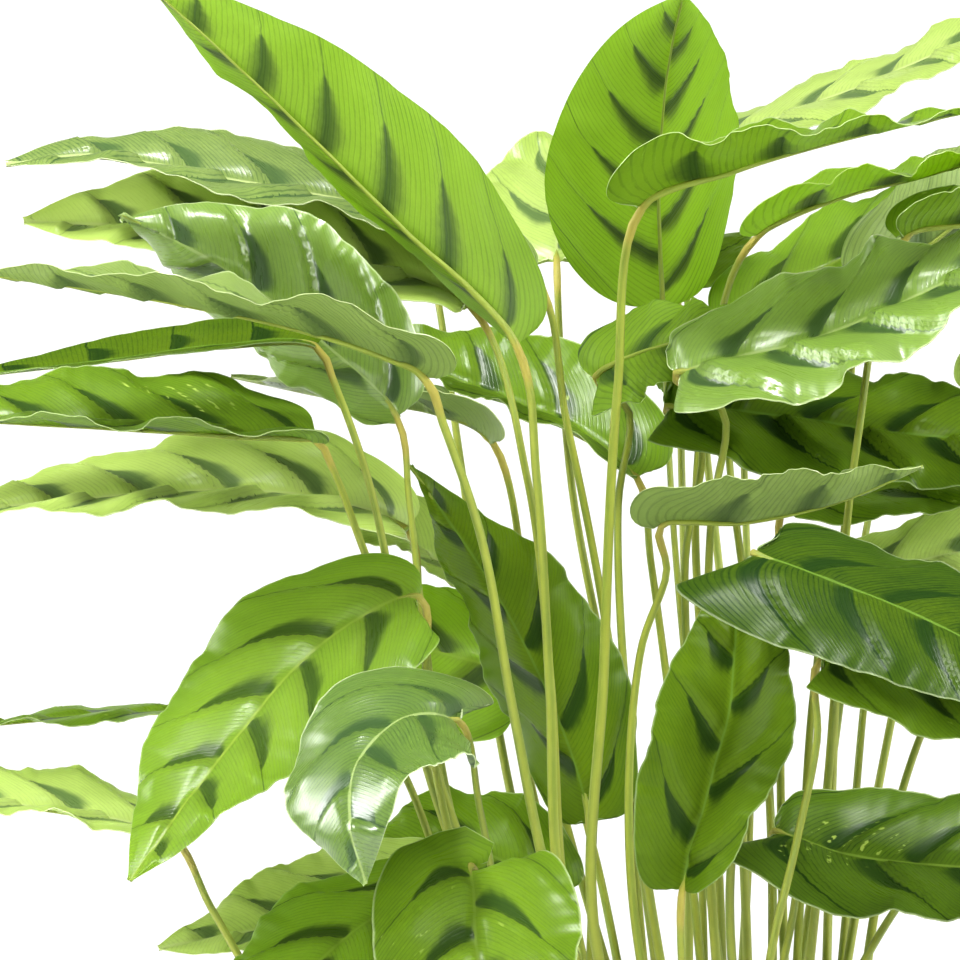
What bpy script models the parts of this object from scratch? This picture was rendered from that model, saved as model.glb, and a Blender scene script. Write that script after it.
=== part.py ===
"""A potted prayer plant with long patterned leaves, at its real size.

Every leaf is one grown piece: its petiole comes out of the soil, bends at the pulvinus and runs on as
the midrib of the blade. The pot and the soil in it are two more pieces. The origin is the centre of the
pot's base, +Z is up and -Y is the plant's front.
"""
import math

import bmesh
import bpy
import numpy as np

# Driving sizes, in millimetres
MM = 0.001
POT_HEIGHT = 180
POT_TOP_RADIUS = 94
POT_FOOT_RADIUS = 70
POT_WALL = 2.4
POT_RIM_HEIGHT = 18
POT_RIM_PROUD = 3
POT_RIM_BEVEL = 1
POT_FOOT_BEVEL = 2
DRAIN_HOLES = 6
DRAIN_HOLE_RADIUS = 5
DRAIN_RING_RADIUS = 44
SOIL_TOP = 165
SOIL_BOTTOM = 8
SOIL_EDGE_DROP = 3
SOIL_EDGE_REACH = 6
ROOT_DEPTH = 30
ROOT_SPACING = 6.6
GAP = 0.3
CUT_BEYOND = 5
STEM_RADIUS_AT_ROOT = 2.15
STEM_RADIUS_AT_BLADE = 1.4
STEM_START = 4
BLADE_THICKNESS = 0.8
RIB_THICKNESS = 2.2
LOBE_REACH = 0.06
ROUND_SIDES = 32
DRAIN_HOLE_SIDES = 12
PETIOLE_HOLE_SIDES = 6
MERGE_DISTANCE = 0.05

# A blade is seen flat from its face: from the plant's front, or from above
FRONT = (0, -1, 0)
ABOVE = (0, 0, 1)

# Where the blade's cross-sections lie, from its base to just before its tip, and across each section
SECTIONS = (0.012, 0.05, 0.13, 0.24, 0.36, 0.48, 0.6, 0.72, 0.83, 0.93)
ACROSS = (-1, -0.5, 0, 0.5, 1)
STEM_SPANS = 6

# The blade's outline: how full and how round its base is, and how full and how trimmed its tip is
BASE_FULLNESS = 2.3
BASE_ROUNDING = 0.42
TIP_FULLNESS = 1.8
TIP_TRIM = 0.1
TIP_TRIM_POWER = 6

LEAF_GREEN = (0.13, 0.32, 0.05)
UNDERSIDE_GREEN = (0.26, 0.45, 0.10)
POT_COLOUR = (0.32, 0.31, 0.29)
SOIL_COLOUR = (0.045, 0.030, 0.020)

LEAVES = []


def leaf(name, root, stem, rib, half, turn, wide=0.38, curl=(0, 12), wave=(2.0, 3.0, 0.0),
         lobe=(5, 5), face=FRONT, shows="top", stem_size=1.0):
    """Note one leaf, in millimetres and degrees.

    root is where it leaves the soil, stem the points its petiole passes, and rib the points of its
    midrib from the blade's base to its tip. half is the widest half width and wide how far along the
    blade that is. turn gives, at the base, the middle and the tip, how far the left and the right half
    swing away from the face; curl is how much further each half bends by its margin. wave is the
    margins' height, count and phase. lobe is how far each half reaches back past the blade's base.
    shows says which side of the blade the face sees, and stem_size makes a petiole thinner or thicker.
    """
    LEAVES.append(dict(name=name, root=root, stem=stem, rib=rib, half=half, turn=turn, wide=wide,
                       curl=curl, wave=wave, lobe=lobe, face=face, shows=shows,
                       stem_size=stem_size))


leaf("leaf_top_left",
     root=(-36, -25), stem=[(-51, -45, 287), (-56.5, -58, 370), (-61, -70, 440)],
     rib=[(-68, -80, 486), (-109, -95, 528), (-156, -105, 574), (-203, -112, 617)],
     half=37, wide=0.31, turn=[(78, 34), (76, 5), (70, 5)], curl=(10, 10), shows="under", stem_size=1.15)
leaf("leaf_top_centre",
     root=(4, 24), stem=[(-2, 50, 300), (-12, 75, 430)],
     rib=[(-15, 90, 501), (-17, 55, 540), (-15, 10, 580), (-10, -30, 609)],
     half=41, wide=0.34, turn=[(8, 32), (0, 44), (35, 54)], curl=(10, 10), wave=(0.8, 3, 0), lobe=(2, 2), shows="under", stem_size=0.85)
leaf("leaf_right_arching_high",
     root=(-20, -12), stem=[(-39, -30, 272), (-37.5, -42, 376), (-33, -50, 470)],
     rib=[(-24.5, -55, 534), (6, -62, 546), (42, -70, 556), (92, -78, 567)],
     half=31, wide=0.3, turn=[(-48, 122), (-73, 107), (-84, 96)], curl=(-5, 5), wave=(3, 4, 0),
     lobe=(10, 6), shows="under", stem_size=1.2)
leaf("leaf_right_top",
     root=(15, 35), stem=[(12, 70, 330), (-2, 116, 480)],
     rib=[(-8, 126, 555), (28, 122, 572), (60, 114, 584), (122, 96, 611)],
     half=26, turn=[(72, -74), (70, -76), (50, -70)])
leaf("leaf_right_second",
     root=(8, 22), stem=[(4, 44, 300), (-4, 58, 430), (2, 58, 484)],
     rib=[(17, 8, 525.5), (46, 6, 539), (75, 2, 546), (130, -4, 563)],
     half=25, wide=0.3, turn=[(-64, 114), (-77, 102), (-76, 104)], curl=(-5, 5), wave=(2, 4, 0.3),
     shows="under")
leaf("leaf_right_backlit",
     root=(22, 30), stem=[(22, 50, 330), (8, 66, 450)],
     rib=[(8, 70, 497), (39, 84, 514), (72, 92, 531), (125, 100, 560)],
     half=30, turn=[(60, 60), (50, 60), (50, 60)], lobe=(2, 2))
leaf("leaf_right_veined",
     root=(30, 6), stem=[(44, 54, 320), (50, 76, 430)],
     rib=[(58, 66, 508), (80, 62, 524), (105, 62, 545), (140, 62, 582)],
     half=30, turn=[(30, 40), (35, 50), (40, 50)], shows="under")
leaf("leaf_right_third",
     root=(26, -8), stem=[(40, -26, 330), (50, -32, 450)],
     rib=[(68, -10, 524), (90, -10, 529), (115, -14, 535), (165, -20, 548)],
     half=27, wide=0.3, turn=[(-60, 120), (-68, 115), (-70, 112)], curl=(-5, 5), shows="under")
leaf("leaf_right_glossy",
     root=(-2, -14), stem=[(0, -12, 300), (0, -16, 425), (5, -14, 462)],
     rib=[(-13, -44, 477), (34, -54, 490), (70, -62, 505), (130, -72, 537)],
     half=34, wide=0.35, turn=[(50, -60), (46, -66), (60, -74)], wave=(3.5, 4, 0.2), lobe=(9, 7))
leaf("leaf_right_dark",
     root=(12, 0), stem=[(0, 26, 300), (-8, 42, 410), (-2, 44, 452)],
     rib=[(-15, 18, 466), (30, 10, 463), (62, 5, 458), (140, -6, 452)],
     half=32, turn=[(50, -55), (48, -58), (50, -50)], wave=(3, 3, 0.5), lobe=(10, 10))
leaf("leaf_right_low_bright",
     root=(18, 12), stem=[(26, 30, 300), (26, 38, 400)],
     rib=[(28, 40, 432), (60, 38, 437), (90, 34, 444), (158, 28, 462)],
     half=27, turn=[(60, -72), (60, -72), (60, -72)])
leaf("leaf_centre_sage",
     root=(-16, -26), stem=[(-28, -36, 300), (-25, -42, 380), (-16, -50, 408)],
     rib=[(-18, -62, 424), (10, -70, 425), (40, -76, 431), (72, -80, 444)],
     half=25, turn=[(-55, 120), (-48, 118), (-50, 110)], curl=(-5, 5), wave=(2, 4, 0.5),
     lobe=(9, 6), shows="under")
leaf("leaf_centre_fan",
     root=(-16, 2), stem=[(-26, 6, 330), (-32, 16, 430), (-28, 26, 464)],
     rib=[(-40, 12, 476), (-26, 2, 484), (-8, -12, 490), (16, -27, 497)],
     half=22, wide=0.3, turn=[(40, -55), (50, -55), (50, -50)], wave=(1.5, 4, 0), lobe=(8, 8),
     shows="under")
leaf("leaf_left_high_pale",
     root=(-14, 14), stem=[(-38, 20, 400), (-50, 14, 460)],
     rib=[(-62, 2, 512), (-110, -8, 534), (-168, -16, 546), (-216, -19, 554), (-246, -20, 551)],
     half=30, wide=0.5, turn=[(-75, 48), (-80, 50), (-85, 50)])
leaf("leaf_left_second_pale",
     root=(-32, -12), stem=[(-50, -18, 287), (-56, -30, 370), (-64, -26, 440)],
     rib=[(-84, -5, 501), (-130, -4, 519), (-187, -6, 528.5), (-240, -10, 531)],
     half=31, wide=0.55, turn=[(-70, 40), (-68, 32), (-70, 26)])
leaf("leaf_left_quilted",
     root=(-42, -6), stem=[(-88, -40, 315), (-100, -50, 390), (-105, -54, 433)],
     rib=[(-109, -60, 461), (-134, -60, 486), (-170, -60, 513), (-204, -64, 531)],
     half=35, wide=0.48, turn=[(56, 22), (58, 5), (55, 30)], lobe=(2, 2), wave=(2, 3, 0.2), stem_size=0.9)
leaf("leaf_left_curled_sage",
     root=(-38, -42), stem=[(-54, -64, 290), (-69, -84, 360), (-80, -96, 420), (-93, -110, 459)],
     rib=[(-99, -118, 474), (-125, -130, 485.5), (-185, -144, 499), (-252, -152, 509)],
     half=34, turn=[(88, -60), (112, -76), (112, -62)], curl=(0, -5), wave=(2.5, 3.5, 0.3),
     lobe=(9, 6), shows="under", stem_size=1.15)
leaf("leaf_left_strip",
     root=(-46, -36), stem=[(-86, -64, 313), (-104, -72, 370), (-118, -78, 437), (-130, -82, 472)],
     rib=[(-137, -84, 486), (-170, -76, 486), (-205, -62, 481.5), (-262, -54, 475)],
     half=15, turn=[(128, -94), (128, -91), (128, -90)], curl=(0, -5), wave=(0.5, 3, 0), shows="under")
leaf("leaf_left_bright",
     root=(-54, -24), stem=[(-94, -54, 325), (-113, -62, 395), (-122, -72, 420), (-131, -86, 444)],
     rib=[(-137, -94, 454), (-165, -102, 456.5), (-210, -110, 459), (-290, -120, 463)],
     half=32, turn=[(-94, 50), (-94, 48), (-94, 50)], curl=(0, 5), wave=(2.5, 3.5, 0.1))
leaf("leaf_left_long_pale",
     root=(-34, 0), stem=[(-90, -26, 318), (-101, -20, 390)],
     rib=[(-106, -12, 423), (-130, -22, 433.5), (-170, -30, 437.5), (-285, -42, 428)],
     half=33, wide=0.3, turn=[(-78, 35), (-80, 48), (-84, 60)], wave=(1.5, 4, 0.2))
leaf("leaf_centre_glossy",
     root=(8, 18), stem=[(-6, 30, 300), (-20, 38, 410)],
     rib=[(-25, 45, 441), (-50, 56, 460), (-82, 68, 473), (-128, 82, 495)],
     half=31, wide=0.36, turn=[(-85, 25), (-85, 18), (-85, 30)], wave=(2, 4, 0.5))
leaf("leaf_centre_ochre",
     root=(-28, 16), stem=[(-51, 56, 322), (-61, 31, 368)],
     rib=[(-76, 5, 453), (-95, 8, 463.5), (-130, 12, 469), (-168, 15, 477)],
     half=22, turn=[(-118, 62), (-112, 65), (-110, 65)], shows="under")
leaf("leaf_back_pale",
     root=(-6, 40), stem=[(-20, 56, 240), (-30, 62, 340), (-48, 84, 440)],
     rib=[(-53, 98, 519), (-52, 122, 540), (-48, 146, 553), (-40, 174, 560)],
     half=30, turn=[(10, 10), (10, 10), (10, 10)])
leaf("leaf_centre_dark",
     root=(-30, 0), stem=[(-40, -4, 240)],
     rib=[(-42.5, -10, 320), (-54, -14, 358), (-76, -20, 402), (-105, -24, 445)],
     half=33, turn=[(55, 25), (60, 22), (60, 40)])
leaf("leaf_behind_left",
     root=(-24, 24), stem=[(-41, 68, 312)],
     rib=[(-60, 42, 366), (-90, 40, 378), (-125, 36, 384), (-170, 26, 380)],
     half=32, turn=[(10, 40), (10, 38), (20, 40)])
leaf("leaf_behind_centre",
     root=(-28, 34), stem=[(-62, 88, 330)],
     rib=[(-78, 88, 400), (-98, 82, 413), (-118, 76, 424), (-155, 68, 438)],
     half=22, turn=[(-80, 30), (-80, 30), (-80, 40)])
leaf("leaf_left_drooping",
     root=(-58, -38), stem=[(-86, -76, 300), (-99, -86, 362)],
     rib=[(-101, -92, 400), (-134, -108, 385), (-168, -132, 347), (-198, -166, 306)],
     half=36, wide=0.36, turn=[(-38, 35), (-44, 30), (-46, 25)], lobe=(5, 4))
leaf("leaf_front_sage",
     root=(-46, -48), stem=[(-66, -80, 260), (-80, -98, 325)],
     rib=[(-88, -146, 359), (-106, -168, 361), (-122, -188, 346), (-124, -206, 325), (-118.5, -210, 306)],
     half=34, wide=0.4, turn=[(-62, 52), (-42, 50), (-20, 24)], lobe=(1, 44), stem_size=0.9)
leaf("leaf_front_low",
     root=(-34, -58), stem=[(-60, -98, 240), (-76, -120, 290)],
     rib=[(-83, -132, 309), (-82.5, -150, 298), (-80, -180, 262), (-73, -214, 205)],
     half=36, wide=0.3, turn=[(-10, -25), (-15, -20), (-20, -20)], lobe=(6, 10))
leaf("leaf_low_behind",
     root=(-22, 8), stem=[(-34, 18, 240)],
     rib=[(-56, 24, 292), (-74, 25, 307), (-95, 25, 313), (-126, 24, 306)],
     half=29, turn=[(-36, 20), (-36, 38), (-36, 42)])
leaf("leaf_low_left",
     root=(-54, -22), stem=[(-84, -52, 260)],
     rib=[(-100, -75, 298), (-118, -90, 290), (-140, -108, 272), (-172, -132, 232)],
     half=32, turn=[(-35, 38), (-38, 36), (-30, 30)])
leaf("leaf_low_left_pale",
     root=(-46, 4), stem=[(-68, 2, 250)],
     rib=[(-85, -2, 296), (-120, -14, 293), (-155, -26, 285), (-192, -36, 278)],
     half=29, turn=[(-64, 30), (-66, 36), (-66, 40)])
leaf("leaf_far_left_narrow",
     root=(-50, 12), stem=[(-92, -32, 300)],
     rib=[(-118, -30, 352), (-165, -38, 360), (-205, -46, 360), (-285, -56, 353)],
     half=22, turn=[(-84, 80), (-86, 80), (-86, 80)], wave=(1.5, 3, 0))
leaf("leaf_far_left_low",
     root=(-62, -24), stem=[(-138, -62, 240), (-172, -80, 292)],
     rib=[(-185, -88, 317), (-206, -94, 325), (-235, -100, 329.5), (-300, -108, 336)],
     half=30, turn=[(-86, 60), (-88, 58), (-88, 60)])
leaf("leaf_front_upright",
     root=(-4, -48), stem=[(-9, -84, 250)],
     rib=[(-11.5, -98, 300), (-4, -104, 330), (5, -102, 365), (7, -92, 411)],
     half=27.5, wide=0.5, turn=[(-25, -66), (-30, -40), (-30, -32)], curl=(5, 5), lobe=(4, 0))
leaf("leaf_right_broad",
     root=(4, -30), stem=[(6, -46, 300), (18, -66, 370), (31, -90, 401)],
     rib=[(12, -128, 415.5), (42, -138, 405), (75, -148, 391), (150, -165, 348)],
     half=33, wide=0.25, turn=[(62, -36), (52, -46), (50, -50)], lobe=(7, 26))
leaf("leaf_right_under",
     root=(10, -52), stem=[(18, -96, 272), (27, -112, 316), (34, -119, 352)],
     rib=[(35, -122, 379), (68, -126, 373), (100, -130, 364), (155, -136, 338)],
     half=26, turn=[(50, -55), (50, -55), (50, -50)], wave=(2, 4, 0), lobe=(6, 10))
leaf("leaf_right_low",
     root=(20, -24), stem=[(22, -30, 250), (29, -36, 300)],
     rib=[(21, -60, 319), (45, -68, 312), (82, -78, 308), (158, -95, 308)],
     half=33, wide=0.36, turn=[(42, -55), (42, -66), (48, -68)], wave=(2, 4, 0.4), lobe=(8, 22))
leaf("leaf_right_back_pale",
     root=(28, 40), stem=[(33, 36, 300), (38, 40, 370)],
     rib=[(44, 46, 398), (72, 52, 411), (110, 60, 416), (165, 72, 406)],
     half=24, turn=[(50, -55), (50, -55), (50, -55)])
leaf("leaf_far_right",
     root=(38, 8), stem=[(60, 8, 300), (78, 4, 360)],
     rib=[(100, -4, 394), (136, -14, 416), (178, -24, 414), (228, -34, 388)],
     half=32, turn=[(-20, -25), (5, 0), (10, 0)], face=ABOVE)
leaf("leaf_far_right_back",
     root=(38, 24), stem=[(62, 70, 334), (80, 98, 410)],
     rib=[(104, 116, 470), (134, 136, 492), (168, 158, 494), (208, 182, 474)],
     half=33, turn=[(-25, -25), (-5, -5), (0, 5)], face=ABOVE)
leaf("leaf_far_right_low",
     root=(36, -20), stem=[(48, -24, 262)],
     rib=[(98, -30, 330), (134, -40, 348), (172, -50, 344), (218, -60, 318)],
     half=32, turn=[(-25, -20), (0, 0), (10, 5)], face=ABOVE)
leaf("leaf_far_right_front",
     root=(28, -44), stem=[(52, -76, 214)],
     rib=[(88, -108, 246), (120, -136, 256), (152, -164, 250), (188, -198, 226)],
     half=31, turn=[(-20, -25), (0, -5), (10, 5)], face=ABOVE)
leaf("leaf_back_mid",
     root=(12, 34), stem=[(16, 84, 330), (15, 112, 430)],
     rib=[(14, 132, 462), (12, 168, 480), (10, 210, 476), (8, 252, 450)],
     half=31, turn=[(-25, -25), (-5, -5), (5, 5)], face=ABOVE)
leaf("leaf_back_striped",
     root=(-4, 48), stem=[(-6, 84, 330), (-8, 118, 450)],
     rib=[(-9, 140, 508), (-11, 176, 526), (-14, 216, 526), (-17, 256, 504)],
     half=30, turn=[(-25, -25), (-5, -5), (5, 5)], face=ABOVE)
leaf("leaf_back_left_high",
     root=(-46, 34), stem=[(-70, 98, 330), (-88, 114, 450)],
     rib=[(-98, 128, 515), (-110, 162, 538), (-122, 200, 542), (-134, 242, 524)],
     half=34, turn=[(-25, -25), (-5, -5), (5, 5)], face=ABOVE)
leaf("leaf_back_right_low",
     root=(36, 34), stem=[(50, 62, 290), (57, 86, 362)],
     rib=[(62, 108, 394), (72, 148, 409), (84, 190, 407), (96, 236, 384)],
     half=31, turn=[(-25, -25), (-5, -5), (5, 5)], face=ABOVE)
leaf("leaf_back_left_low",
     root=(-34, 44), stem=[(-48, 84, 290), (-60, 106, 345)],
     rib=[(-72, 122, 376), (-82, 156, 393), (-92, 196, 391), (-102, 240, 368)],
     half=32, turn=[(-25, -25), (-5, -5), (5, 5)], face=ABOVE)
leaf("leaf_back_right_high",
     root=(26, 48), stem=[(44, 84, 330), (56, 106, 410)],
     rib=[(66, 122, 448), (84, 152, 464), (102, 188, 462), (120, 230, 440)],
     half=30, turn=[(-25, -25), (-5, -5), (5, 5)], face=ABOVE)
leaf("leaf_back_centre_pale",
     root=(0, 50), stem=[(-12, 78, 205)],
     rib=[(-18, 108, 234), (-22, 148, 248), (-26, 192, 247), (-30, 236, 226)],
     half=31, turn=[(-25, -25), (-5, -5), (5, 5)], face=ABOVE)
leaf("leaf_back_low_left",
     root=(-52, 28), stem=[(-80, 62, 250)],
     rib=[(-96, 86, 283), (-114, 120, 294), (-134, 156, 288), (-156, 196, 262)],
     half=31, turn=[(-20, -20), (0, 0), (10, 10)], face=ABOVE)
leaf("leaf_back_low_right",
     root=(46, 20), stem=[(56, 56, 260)],
     rib=[(64, 82, 298), (78, 116, 310), (94, 154, 305), (112, 196, 280)],
     half=31, turn=[(-20, -20), (0, 0), (10, 10)], face=ABOVE)
leaf("leaf_front_lowest",
     root=(-8, -56), stem=[(-26, -80, 190)],
     rib=[(-42, -104, 208), (-48, -144, 214), (-54, -188, 202), (-60, -234, 172)],
     half=31, turn=[(-15, -15), (0, 0), (8, 8)], face=ABOVE)
leaf("leaf_front_right_lowest",
     root=(18, -54), stem=[(30, -80, 192)],
     rib=[(38, -106, 212), (50, -144, 220), (62, -186, 210), (74, -232, 180)],
     half=31, turn=[(-15, -15), (0, 0), (8, 8)], face=ABOVE)
leaf("leaf_left_lowest",
     root=(-64, 0), stem=[(-90, -4, 192)],
     rib=[(-118, -8, 206), (-158, -12, 212), (-202, -18, 202), (-248, -26, 172)],
     half=31, turn=[(-15, -15), (0, 0), (8, 8)], face=ABOVE)

def clear_scene():
    for thing in list(bpy.data.objects):
        bpy.data.objects.remove(thing, do_unlink=True)


def finish(name, colour, roughness):
    """A plain material of the piece's own."""
    material = bpy.data.materials.new(name)
    material.use_nodes = True
    shader = material.node_tree.nodes["Principled BSDF"]
    shader.inputs["Base Color"].default_value = (*colour, 1)
    shader.inputs["Roughness"].default_value = roughness
    shader.inputs["Metallic"].default_value = 0
    return material


def add_object(name, mesh, material, sharp_angle):
    piece = bpy.data.objects.new(name, mesh)
    bpy.context.collection.objects.link(piece)
    mesh.materials.append(material)
    mesh.shade_smooth()
    mesh.set_sharp_from_angle(angle=math.radians(sharp_angle))
    return piece


def unit(vectors):
    vectors = np.asarray(vectors, float)
    return vectors / np.linalg.norm(vectors, axis=-1, keepdims=True)


class Path:
    """A smooth curve through hand-set points, read by the length along it."""

    STEPS = 32

    def __init__(self, points):
        points = np.asarray(points, float)
        gaps = np.sqrt(np.linalg.norm(np.diff(points, axis=0), axis=1))
        slopes = np.diff(points, axis=0) / gaps[:, None]
        before, after = gaps[:-1, None], gaps[1:, None]
        inner = (slopes[:-1] * after + slopes[1:] * before) / (before + after)
        speeds = np.vstack([slopes[:1], inner, slopes[-1:]])
        u = np.linspace(0, 1, self.STEPS + 1)[1:, None]
        pieces = [points[:1]]
        for i, gap in enumerate(gaps):
            start, end = points[i], points[i + 1]
            leave, arrive = gap * speeds[i], gap * speeds[i + 1]
            pieces.append((2 * u**3 - 3 * u**2 + 1) * start + (u**3 - 2 * u**2 + u) * leave
                          + (3 * u**2 - 2 * u**3) * end + (u**3 - u**2) * arrive)
        self.fine = np.concatenate(pieces)
        steps = np.linalg.norm(np.diff(self.fine, axis=0), axis=1)
        self.lengths = np.concatenate([[0], np.cumsum(steps)])
        self.knots = self.lengths[np.arange(len(points)) * self.STEPS]

    def point(self, at):
        return np.stack([np.interp(at, self.lengths, self.fine[:, i]) for i in range(3)], axis=-1)

    def direction(self, at, reach=4.0):
        end = self.lengths[-1]
        return unit(self.point(np.clip(at + reach, 0, end)) - self.point(np.clip(at - reach, 0, end)))


def root_places(count):
    """Places for the petioles in the soil, spread evenly like seeds in a flower head."""
    golden = math.pi * (3 - math.sqrt(5))
    return [(ROOT_SPACING * math.sqrt(i + 0.5) * math.cos(i * golden),
             ROOT_SPACING * math.sqrt(i + 0.5) * math.sin(i * golden)) for i in range(count)]


def settle_roots(rows):
    """Give each leaf a place in the soil, as near as can be to where it wants to stand."""
    places = root_places(len(rows))
    wishes = [row["root"] for row in rows]
    taken = list(range(len(rows)))

    def cost(leaf_index, place_index):
        return math.dist(wishes[leaf_index], places[place_index])**2

    least_gain = 0.001
    swapped = True
    while swapped:
        swapped = False
        for i in range(len(rows)):
            for j in range(i):
                a, b = taken[i], taken[j]
                if cost(i, b) + cost(j, a) < cost(i, a) + cost(j, b) - least_gain:
                    taken[i], taken[j] = b, a
                    swapped = True
    for row, place in zip(rows, taken):
        row["root"] = places[place]


def leaf_path(row):
    """The leaf's whole centre line above the soil, and how far along it the blade begins."""
    start = (*row["root"], SOIL_TOP + STEM_START)
    path = Path([start, *row["stem"], *row["rib"]])
    return path, path.knots[len(row["stem"]) + 1]


def half_width(s, wide):
    """The half width's share of its greatest value: round at the base and pointed at the tip."""
    base = np.clip(1 - (np.clip(wide - s, 0, 1) / wide)**BASE_FULLNESS, 0, 1)**BASE_ROUNDING
    u = np.clip((s - wide) / (1 - wide), 0, 1)
    return np.where(s < wide, base, (1 - u**TIP_FULLNESS) * (1 - TIP_TRIM * u**TIP_TRIM_POWER))


def blade_frame(row, path, at):
    """Along the midrib: its direction, the blade's right-hand side, and straight away from its face."""
    forward = path.direction(at)
    right = unit(np.cross(forward, unit(row["face"])))
    return forward, right, -np.cross(right, forward)


def blade_surface(row, s, across):
    """The middle surface of a blade: s runs from its base to its tip, across from -1 to 1."""
    path, base = leaf_path(row)
    s = np.asarray(s, float)
    at = base + s * (path.lengths[-1] - base)
    forward, right, away = blade_frame(row, path, at)
    straight = 1e-6
    width = row["half"] * half_width(s, row["wide"])
    height, count, phase = row["wave"]
    calm_ends = np.sin(math.pi * s)**0.4
    sweep = s / LOBE_REACH * np.exp(1 - s / LOBE_REACH)
    surface = np.zeros((len(s), len(across), 3))
    for column, t in enumerate(across):
        side = int(t > 0)
        sign = 1 if side else -1
        out = abs(t)
        start = np.radians(np.interp(s, (0, 0.5, 1), [turn[side] for turn in row["turn"]]))
        bend = math.radians(row["curl"][side]) + straight
        end = start + bend * out
        sideways = (np.sin(end) - np.sin(start)) / bend * width
        back = (np.cos(start) - np.cos(end)) / bend * width
        ripple = height * out**2 * calm_ends * np.sin(math.tau * (count * s + phase + 0.35 * side))
        sideways = sideways + ripple * np.sin(end)
        back = back - ripple * np.cos(end)
        reach = row["lobe"][side] * sweep * out
        surface[:, column] = (path.point(at) + sign * right * sideways[:, None]
                              + away * back[:, None] - forward * reach[:, None])
    return surface


def blade_rings(row):
    """Ten-cornered cross-sections of the blade: along its face side, then back along the other."""
    s = np.array([*SECTIONS, 1.0])
    middle = blade_surface(row, s, ACROSS)
    normals = unit(np.cross(np.gradient(middle, axis=1), np.gradient(middle, axis=0)))
    half = np.full(middle.shape[:2], BLADE_THICKNESS / 2)
    half[:, 2] += (RIB_THICKNESS - BLADE_THICKNESS) / 2 * (1 - s)
    offset = normals * half[:, :, None]
    rings = np.concatenate([middle + offset, (middle - offset)[:, ::-1]], axis=1)
    return list(rings[:-1]), middle[-1, 2]


def stem_rings(row):
    """Six-cornered cross-sections of the petiole, from its foot in the soil to the blade's base."""
    path, base = leaf_path(row)
    at = np.linspace(base, 0, STEM_SPANS)
    forward = path.direction(at)
    right = blade_frame(row, path, np.array([base]))[1][0]
    rings = []
    for i, length in enumerate(at):
        share = length / base
        along = forward[i] if i < STEM_SPANS - 1 else np.array([0.0, 0.0, 1.0])
        right = unit(right - along * np.dot(right, along))
        up = np.cross(right, along)
        radius = STEM_RADIUS_AT_ROOT + (STEM_RADIUS_AT_BLADE - STEM_RADIUS_AT_ROOT) * share
        radius *= row["stem_size"]
        angles = np.radians([180, 120, 60, 0, -60, -120])
        centre = path.point(length)
        rings.append([centre + radius * (math.cos(a) * right + math.sin(a) * up) for a in angles])
    foot = [(x, y, SOIL_TOP - ROOT_DEPTH) for x, y, _ in rings[-1]]
    return [foot] + rings[::-1]


# Each corner of the blade's first section grows from one corner of the petiole's last one
BRIDGE = (0, 1, 1, 2, 3, 3, 4, 4, 5, 0)
# The sides whose squares are split the other way, so that both faces of a waved blade fold alike
SPLIT_OTHER_WAY = (2, 3, 7, 8)


def leaf_faces(stem_count, blade_count):
    """Triangles of a leaf whose corners are listed ring by ring, with the tip last."""
    faces = [(0, 2, 1), (0, 3, 2), (0, 4, 3), (0, 5, 4)]
    for ring in range(stem_count - 1):
        a, b = 6 * ring, 6 * ring + 6
        for i in range(6):
            j = (i + 1) % 6
            faces += [(a + i, a + j, b + j), (a + i, b + j, b + i)]
    a, b = 6 * (stem_count - 1), 6 * stem_count
    for i in range(10):
        j = (i + 1) % 10
        if BRIDGE[i] != BRIDGE[j]:
            faces.append((a + BRIDGE[i], a + BRIDGE[j], b + j))
        faces.append((a + BRIDGE[i], b + j, b + i))
    for ring in range(blade_count - 1):
        a, b = 6 * stem_count + 10 * ring, 6 * stem_count + 10 * ring + 10
        for i in range(10):
            j = (i + 1) % 10
            if i in SPLIT_OTHER_WAY:
                faces += [(a + i, a + j, b + i), (a + j, b + j, b + i)]
            else:
                faces += [(a + i, a + j, b + j), (a + i, b + j, b + i)]
    last = 6 * stem_count + 10 * (blade_count - 1)
    tip = last + 10
    faces += [(last + i, last + (i + 1) % 10, tip) for i in range(10)]
    return faces


def make_leaf(row):
    """One leaf as a single closed body."""
    stem = stem_rings(row)
    blade, tip = blade_rings(row)
    corners = [point for ring in stem for point in ring]
    corners += [point for ring in blade for point in ring]
    corners.append(tip)
    mesh = bpy.data.meshes.new(row["name"])
    mesh.from_pydata([tuple(float(c) * MM for c in point) for point in corners], [],
                     leaf_faces(len(stem), len(blade)))
    colour = LEAF_GREEN if row["shows"] == "top" else UNDERSIDE_GREEN
    return add_object(row["name"], mesh, finish(row["name"], colour, 0.4), 50)


def turned(name, profile):
    """A closed body turned round Z from a profile of (radius, height) that starts and ends on the axis."""
    shape = bmesh.new()
    points = [shape.verts.new((radius * MM, 0, height * MM)) for radius, height in profile]
    edges = [shape.edges.new(pair) for pair in zip(points, points[1:])]
    bmesh.ops.spin(shape, geom=points + edges, cent=(0, 0, 0), axis=(0, 0, 1),
                   angle=math.tau, steps=ROUND_SIDES, use_merge=True)
    bmesh.ops.remove_doubles(shape, verts=shape.verts, dist=MERGE_DISTANCE * MM)
    bmesh.ops.recalc_face_normals(shape, faces=shape.faces)
    mesh = bpy.data.meshes.new(name)
    shape.to_mesh(mesh)
    shape.free()
    return mesh


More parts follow.
